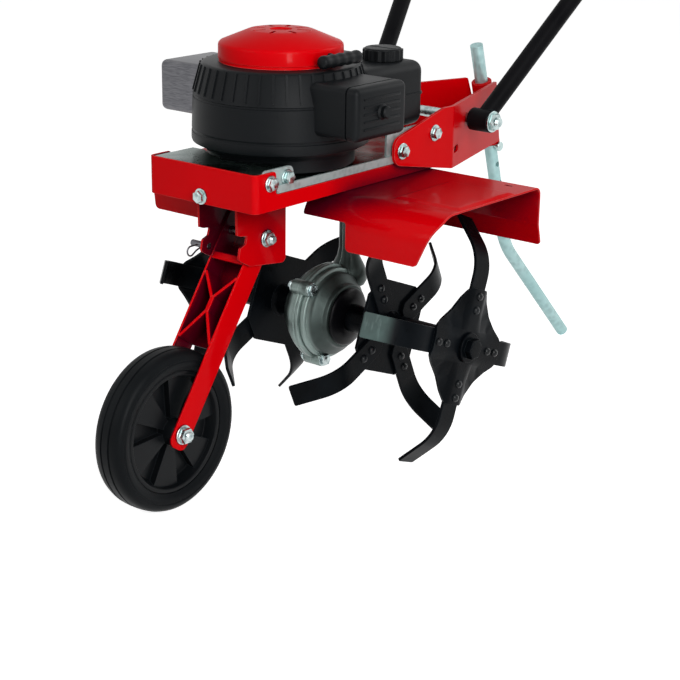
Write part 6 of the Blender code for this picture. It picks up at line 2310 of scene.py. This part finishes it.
@dataclass
class HandleBracket:
    """Two plates that fold in to the drag bar's socket, with their bolts and the handlebar's rod."""

    drag: DragBar = field(default_factory=DragBar)
    metal: float = 4.0
    inner: float = 86.6
    bend_at: float = 145.0
    bend_radius: float = 12.0
    nose: Point2 = (38.0, 219.5)
    nose_radius: float = 16.0
    low: float = 180.0
    low_rear: float = 173.0
    top: float = 262.0
    crown_ahead: float = 20.0
    crown_radius: float = 24.0
    rear_bolt: Point2 = (106.0, 233.0)
    slot: Point2 = (162.0, 203.0)
    slot_half: Point2 = (9.0, 5.0)
    pivot: Point2 = (205.0, 236.0)
    rod: float = 7.0
    rod_seat: float = 112.3
    rod_nut: HexBolt = HexBolt(12.0, 5.3, 14.0, 1.6, 5.0, 6.4)
    rod_head: HexBolt = HexBolt(12.0, 5.3, 14.0, 1.6)
    lug_bolt: HexBolt = HexBolt(7.6, 5.3, 10.5, 1.7)
    socket_length: float = 96.0

    def plate(self) -> Form:
        """The left plate with its holes.

        Returns:
            The form.
        """
        middle = self.inner + self.metal / 2
        heel = self.drag.axis(self.low_rear)[0]
        lean = math.atan2(middle - self.drag.socket, heel - self.bend_at)
        path = Bends((middle, 0.0), QUARTER).straight(self.bend_at).bend(self.bend_radius, lean)
        path.straight((heel - path.point.y) / math.cos(lean))
        end = path.length
        high = end - (heel - self.drag.axis(self.top)[0]) / math.cos(lean)
        front, drop = self.nose[0] - self.nose_radius, self.nose_radius
        outline = rounded([
            (self.nose[1] - drop, front, drop - 0.5), (self.nose[1] + drop, front, drop - 0.5),
            (self.top, self.bend_at - self.crown_ahead, self.crown_radius), (self.top, high, 3),
            (self.low_rear, end, 3), (self.low, self.bend_at, 40),
        ], 8)
        form = Form.folded(outline, path.scores(6), path.stand)
        holes = Form.prism(32, self.rod + FLUSH, 0, 150).put((0, *self.pivot), Facing.LEFT)
        (along, level), (reach, rise) = self.slot, self.slot_half
        slot = Form.block((0, along - reach, level - rise), (150, along + reach, level + rise), 4.9, 6)
        return form.less(holes, self.metal).less(slot)

    def slot_shade_blocks(self) -> Form:
        """Dark blocks behind the slots that stand for the shade inside the bracket.

        Returns:
            The form.
        """
        middle = self.inner + self.metal / 2
        lean = math.atan2(middle - self.drag.socket, self.drag.axis(self.low_rear)[0] - self.bend_at)
        inset = (self.slot[0] - self.bend_at - self.bend_radius * math.tan(lean / 2)) * math.tan(lean)
        shade_block = Form.block((-1.6, -12, -8), (1.6, 12, 8), 1.4)
        shade_block.put((middle - inset - self.metal / 2 - 1.2, *self.slot), Matrix.Rotation(lean, 4, "Z"))
        twin = shade_block.mirrored()
        return shade_block.add(twin)

    def socket(self) -> Form:
        """The socket tube for the drag bar.

        Returns:
            The form.
        """
        lean = math.radians(self.drag.tilt)
        outer, bore = self.drag.socket, self.drag.radius + FLUSH
        top = self.drag.axis(self.drag.socket_low + self.socket_length * math.cos(lean))
        foot = -self.socket_length
        profile = [
            (bore, foot), (outer - 0.8, foot), (outer, 0.8 + foot), (outer, -0.8), (outer - 0.8, 0),
            (bore + 0.8, 0), (bore, -0.8),
        ]
        return Form.turned(profile + [profile[0]], 48).put((0, *top), Matrix.Rotation(lean, 4, "X"))

    def bolts(self) -> Form:
        """The bolts through the engine plate's lugs, on broad washers.

        Returns:
            The form.
        """
        form = Form()
        seat = self.inner + self.metal
        for side in Side:
            for spot in (self.nose, self.rear_bolt):
                form.add(self.lug_bolt.form().put((side.value * seat, *spot), side.out))
        return form

    def rod_form(self) -> Form:
        """The handlebar's pivot rod with a nut at each end."""
        at = (0, *self.pivot)
        return through_bolt(40, self.rod, self.rod_seat, at, self.rod_nut, self.rod_head)

    def build(self, shop: Workshop) -> None:
        """Make the bracket's pieces.

        Args:
            shop: makes the pieces.
        """
        left = self.plate()
        right = left.mirrored()
        shop.piece(left.add(right), "handle_plates", "chassis", RED, ["handle_bracket"], edge=0.6, soft=40)
        # Dark blocks behind the slots are painted shade seen through them.
        shop.piece(self.slot_shade_blocks(), "slot_shade", "chassis", SEAL, soft=40)
        shop.piece(self.socket(), "drag_socket", "chassis", RED, soft=40)
        shop.piece(self.bolts(), "handle_bolts", "chassis", ZINC, soft=30)
        shop.piece(self.rod_form(), "handle_rod", "chassis", ZINC, ["handle_pivot_rod"], soft=30)


@dataclass
class Handlebar:
    """The bent tubes with their eyes and brace, the ribbed grips and the throttle lever."""

    pivot: Point2 = (205.0, 236.0)
    eye: float = 15.0
    eye_inner: float = 80.0
    eye_width: float = 32.0
    rod: float = 7.0
    tube: float = 12.0
    knee: Point3 = (180.0, 490.0, 540.0)
    end: Point3 = (270.0, 905.0, 720.0)
    reach: float = 165.0
    turn: float = 90.0
    brace_share: float = 0.72
    brace: float = 9.0
    grip: float = 17.0
    grip_length: float = 120.0
    grip_cap: float = 4.0
    grip_ribs: int = 11
    grip_pitch: float = 9.0
    lever_ahead: float = 13.0
    lever_length: float = 130.0
    lever_width: float = 14.0
    lever_drop: float = 30.0
    lever_metal: float = 4.0
    lever_off: float = 22.0

    def tubes(self) -> Form:
        """Both tubes, the brace and the eyes on the rod.

        Returns:
            The form.
        """
        middle = self.eye_inner + self.eye_width / 2
        across, rear, height = self.end
        stop = rear - self.grip_cap - FLUSH
        root, knee = Vector((middle, *self.pivot)), Vector(self.knee)
        start = root.lerp(knee, self.eye * 0.6 / (knee - root).length)
        points = [tuple(start), self.knee, (across, rear - self.reach, height), (across, stop, height)]
        form = Form.tube(eased(points, self.turn, 18), self.tube, 36)
        bore, low, high = self.rod + FLUSH, self.eye_inner, self.eye_inner + self.eye_width
        rim = self.eye
        ring = [
            (bore, low + 1), (bore + 1, low), (rim - 1.2, low), (rim, low + 1.2), (rim, high - 1.2),
            (rim - 1.2, high), (bore + 1, high), (bore, high - 1),
        ]
        bar = Form.prism(32, bore, 0, 200).put((0, *self.pivot), Facing.LEFT)
        form = form.less(bar).add(Form.turned(ring + [ring[0]], 48).put((0, *self.pivot), Facing.LEFT))
        twin = form.mirrored()
        spot = root.lerp(knee, self.brace_share)
        cross = Form.tube([(-spot.x, spot.y, spot.z), tuple(spot)], self.brace, 28)
        return form.add(twin, cross)

    def grips(self, side: Side) -> Form:
        """A grip with rounded ribs and a flange.

        Args:
            side: the machine's side.

        Returns:
            The form.
        """
        r, length = self.grip, self.grip_length
        hole = self.tube + FLUSH + 0.1
        profile = [(0, 0), (r - 4, 0), (r - 1.2, -0.8), (r, -3)]
        for k in range(self.grip_ribs):
            level = -self.grip_pitch * (k + 1)
            profile += [(r, level), (r - 1.4, level - 1.5), (r - 1.4, level - 4.5), (r, level - 6)]
        profile += [(r, 3 - length), (r - 1, 1 - length), (r - 3, -length), (hole, -length)]
        profile += [(hole, -self.grip_cap), (0, -self.grip_cap)]
        across, rear, height = self.end
        return Form.turned(profile, 48).put((side.value * across, rear, height), Facing.REAR)

    def lever(self) -> Form:
        """The throttle lever and its hinge drum.

        Returns:
            The form.
        """
        across, rear, height = self.end
        hinge = Vector((self.tube - across, rear - self.grip_length - self.lever_ahead, height))
        half, drop, length = self.lever_width / 2, self.lever_drop, self.lever_length
        outline = rounded([
            (-half, -half, 4), (length, -half - drop, 4), (length, 2 - drop, 4),
            (length / 3, half - drop / 3, 30), (-half, half, 4),
        ], 8)
        form = Form.plate(outline, self.lever_metal).put(hinge + Vector((self.lever_off, 0, 0)), STANDING)
        end = self.lever_off + self.lever_metal / 2 + 1
        rim = half + 1
        drum = [(0, FLUSH), (rim - 0.8, FLUSH), (rim, 1.2), (rim, end - 0.8), (rim - 0.8, end), (0, end)]
        return form.add(Form.turned(drum, 40).put(hinge, Facing.LEFT))

    def build(self, shop: Workshop) -> None:
        """Make the handlebar's pieces.

        Args:
            shop: makes the pieces.
        """
        shop.piece(self.tubes(), "handle_tubes", "handle", TUBE_BLACK, ["handlebar"], soft=40)
        for side in Side:
            word = side.word
            shop.piece(self.grips(side), f"ribbed_grip_{word}", "handle", SOFT, [f"grip_{word}"], soft=50)
        shop.piece(self.lever(), "throttle_arm", "throttle", MOULDED, ["throttle_lever"], edge=0.6, soft=40)


@dataclass
class Studio:
    """Camera, floor, world and soft lamps."""

    azimuth: float = 39.0
    elevation: float = 18.4
    roll: float = 0.8
    distance: float = 2265.4
    target: Point3 = (0.0, 31.0, -48.2)
    lens: float = 90.0
    key: float = 32.0
    front: float = 9.0
    strip: float = 10.0
    rim: float = 13.0
    sky: float = 0.17
    glow: float = 0.82
    bounce: float = 0.22
    aim: Point3 = (0.0, -0.2, 0.25)

    def camera(self) -> None:
        """Set the camera at the photograph's view."""
        a, e, r = (math.radians(v) for v in (self.azimuth, self.elevation, self.roll))
        back = Vector((math.sin(a) * math.cos(e), -math.cos(a) * math.cos(e), math.sin(e)))
        right = Vector((math.cos(a), math.sin(a), 0.0))
        up = back.cross(right)
        across, above = math.cos(r) * right + math.sin(r) * up, math.cos(r) * up - math.sin(r) * right
        data = bpy.data.cameras.new("camera")
        data.lens = self.lens
        data.sensor_width = 36.0
        data.sensor_fit = "HORIZONTAL"
        data.clip_end = 100.0
        item = bpy.data.objects.new("camera", data)
        spot = TO_FRAME @ (Vector(self.target) + back * self.distance)
        turn = Matrix((across, above, back)).transposed().to_4x4()
        item.matrix_world = Matrix.Translation(spot) @ turn
        link(item)
        bpy.context.scene.camera = item

    def floor(self) -> None:
        """Lay a pale floor that the camera sees as nearly white."""
        form = Form()
        bmesh.ops.create_grid(form.mesh, x_segments=1, y_segments=1, size=8.0)
        mesh = bpy.data.meshes.new("floor")
        form.mesh.to_mesh(mesh)
        form.mesh.free()
        item = bpy.data.objects.new("floor", mesh)
        board = Board(bpy.data.materials.new("floor_pale"))
        board.set(Base_Color=(0.97, 0.97, 0.97), Roughness=0.95, Specular_IOR_Level=0.0)
        board.set(Emission_Color=(1.0, 1.0, 1.0), Emission_Strength=self.glow)
        dull = board.node("ShaderNodeBsdfDiffuse", {}, {"Color": (self.bounce, self.bounce, self.bounce)})
        pale = Shade(board, board.shader.outputs[0])
        mixed = board.node("ShaderNodeMixShader", {}, {0: board.seen(), 1: board.out(dull), 2: pale})
        board.feed(board.tree.nodes["Material Output"].inputs["Surface"], board.out(mixed))
        mesh.materials.append(board.owner)
        link(item)

    def world(self) -> None:
        """A white surround for the camera and reflections, and a softer one for light."""
        world = bpy.data.worlds.new("studio")
        bpy.context.scene.world = world
        board = Board(world)
        back = board.tree.nodes["Background"]
        board.feed(back.inputs["Color"], (1.0, 1.0, 1.0))
        board.feed(back.inputs["Strength"], self.sky + (1.0 - self.sky) * board.seen())

    def lamp(self, name: str, spot: Point3, aim: Point3, size: float, power: float) -> None:
        """Hang one soft square lamp.

        Args:
            name: its name.
            spot: where it hangs, in metres.
            aim: where it points.
            size: width in metres.
            power: power in watts.
        """
        data = bpy.data.lights.new(name, "AREA")
        data.energy = power
        data.size = size
        item = bpy.data.objects.new(name, data)
        item.location = spot
        item.rotation_euler = (Vector(spot) - Vector(aim)).to_track_quat("Z", "Y").to_euler()
        link(item)

    def build(self) -> None:
        """Set up the studio."""
        self.camera()
        self.floor()
        self.world()
        middle = self.aim
        self.lamp("key_lamp", (1.9, -1.5, 1.55), middle, 1.3, self.key)
        self.lamp("front_lamp", (-0.7, -2.5, 1.5), middle, 1.3, self.front)
        self.lamp("strip_lamp", (1.86, -1.58, 0.58), (0.0, -0.25, 0.18), 0.4, self.strip)
        self.lamp("rim_lamp", (1.2, 1.9, 1.6), middle, 1.4, self.rim)
        bpy.context.scene.view_settings.view_transform = "Standard"


def main() -> None:
    """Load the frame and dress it."""
    logging.basicConfig(level=logging.INFO, format="%(message)s")
    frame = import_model()
    shop = Workshop(frame)
    Studio().build()
    for assembly in (
        Tray(), Guards(), WheelBracket(), Fork(), Wheel(), Gearbox(), Rotor(), DragBar(), Engine(),
        HandleBracket(), Handlebar(),
    ):
        assembly.build(shop)
    shop.dress(
        STEEL, "shaft_bearing_left", "shaft_bearing_right", "worm_bearing", "worm_shaft", "crankshaft",
    )
    shop.dress(CAST, "worm_pulley", "crank_pulley")
    shop.dress(SOFT, "drive_belt")


if __name__ == "__main__":
    main()
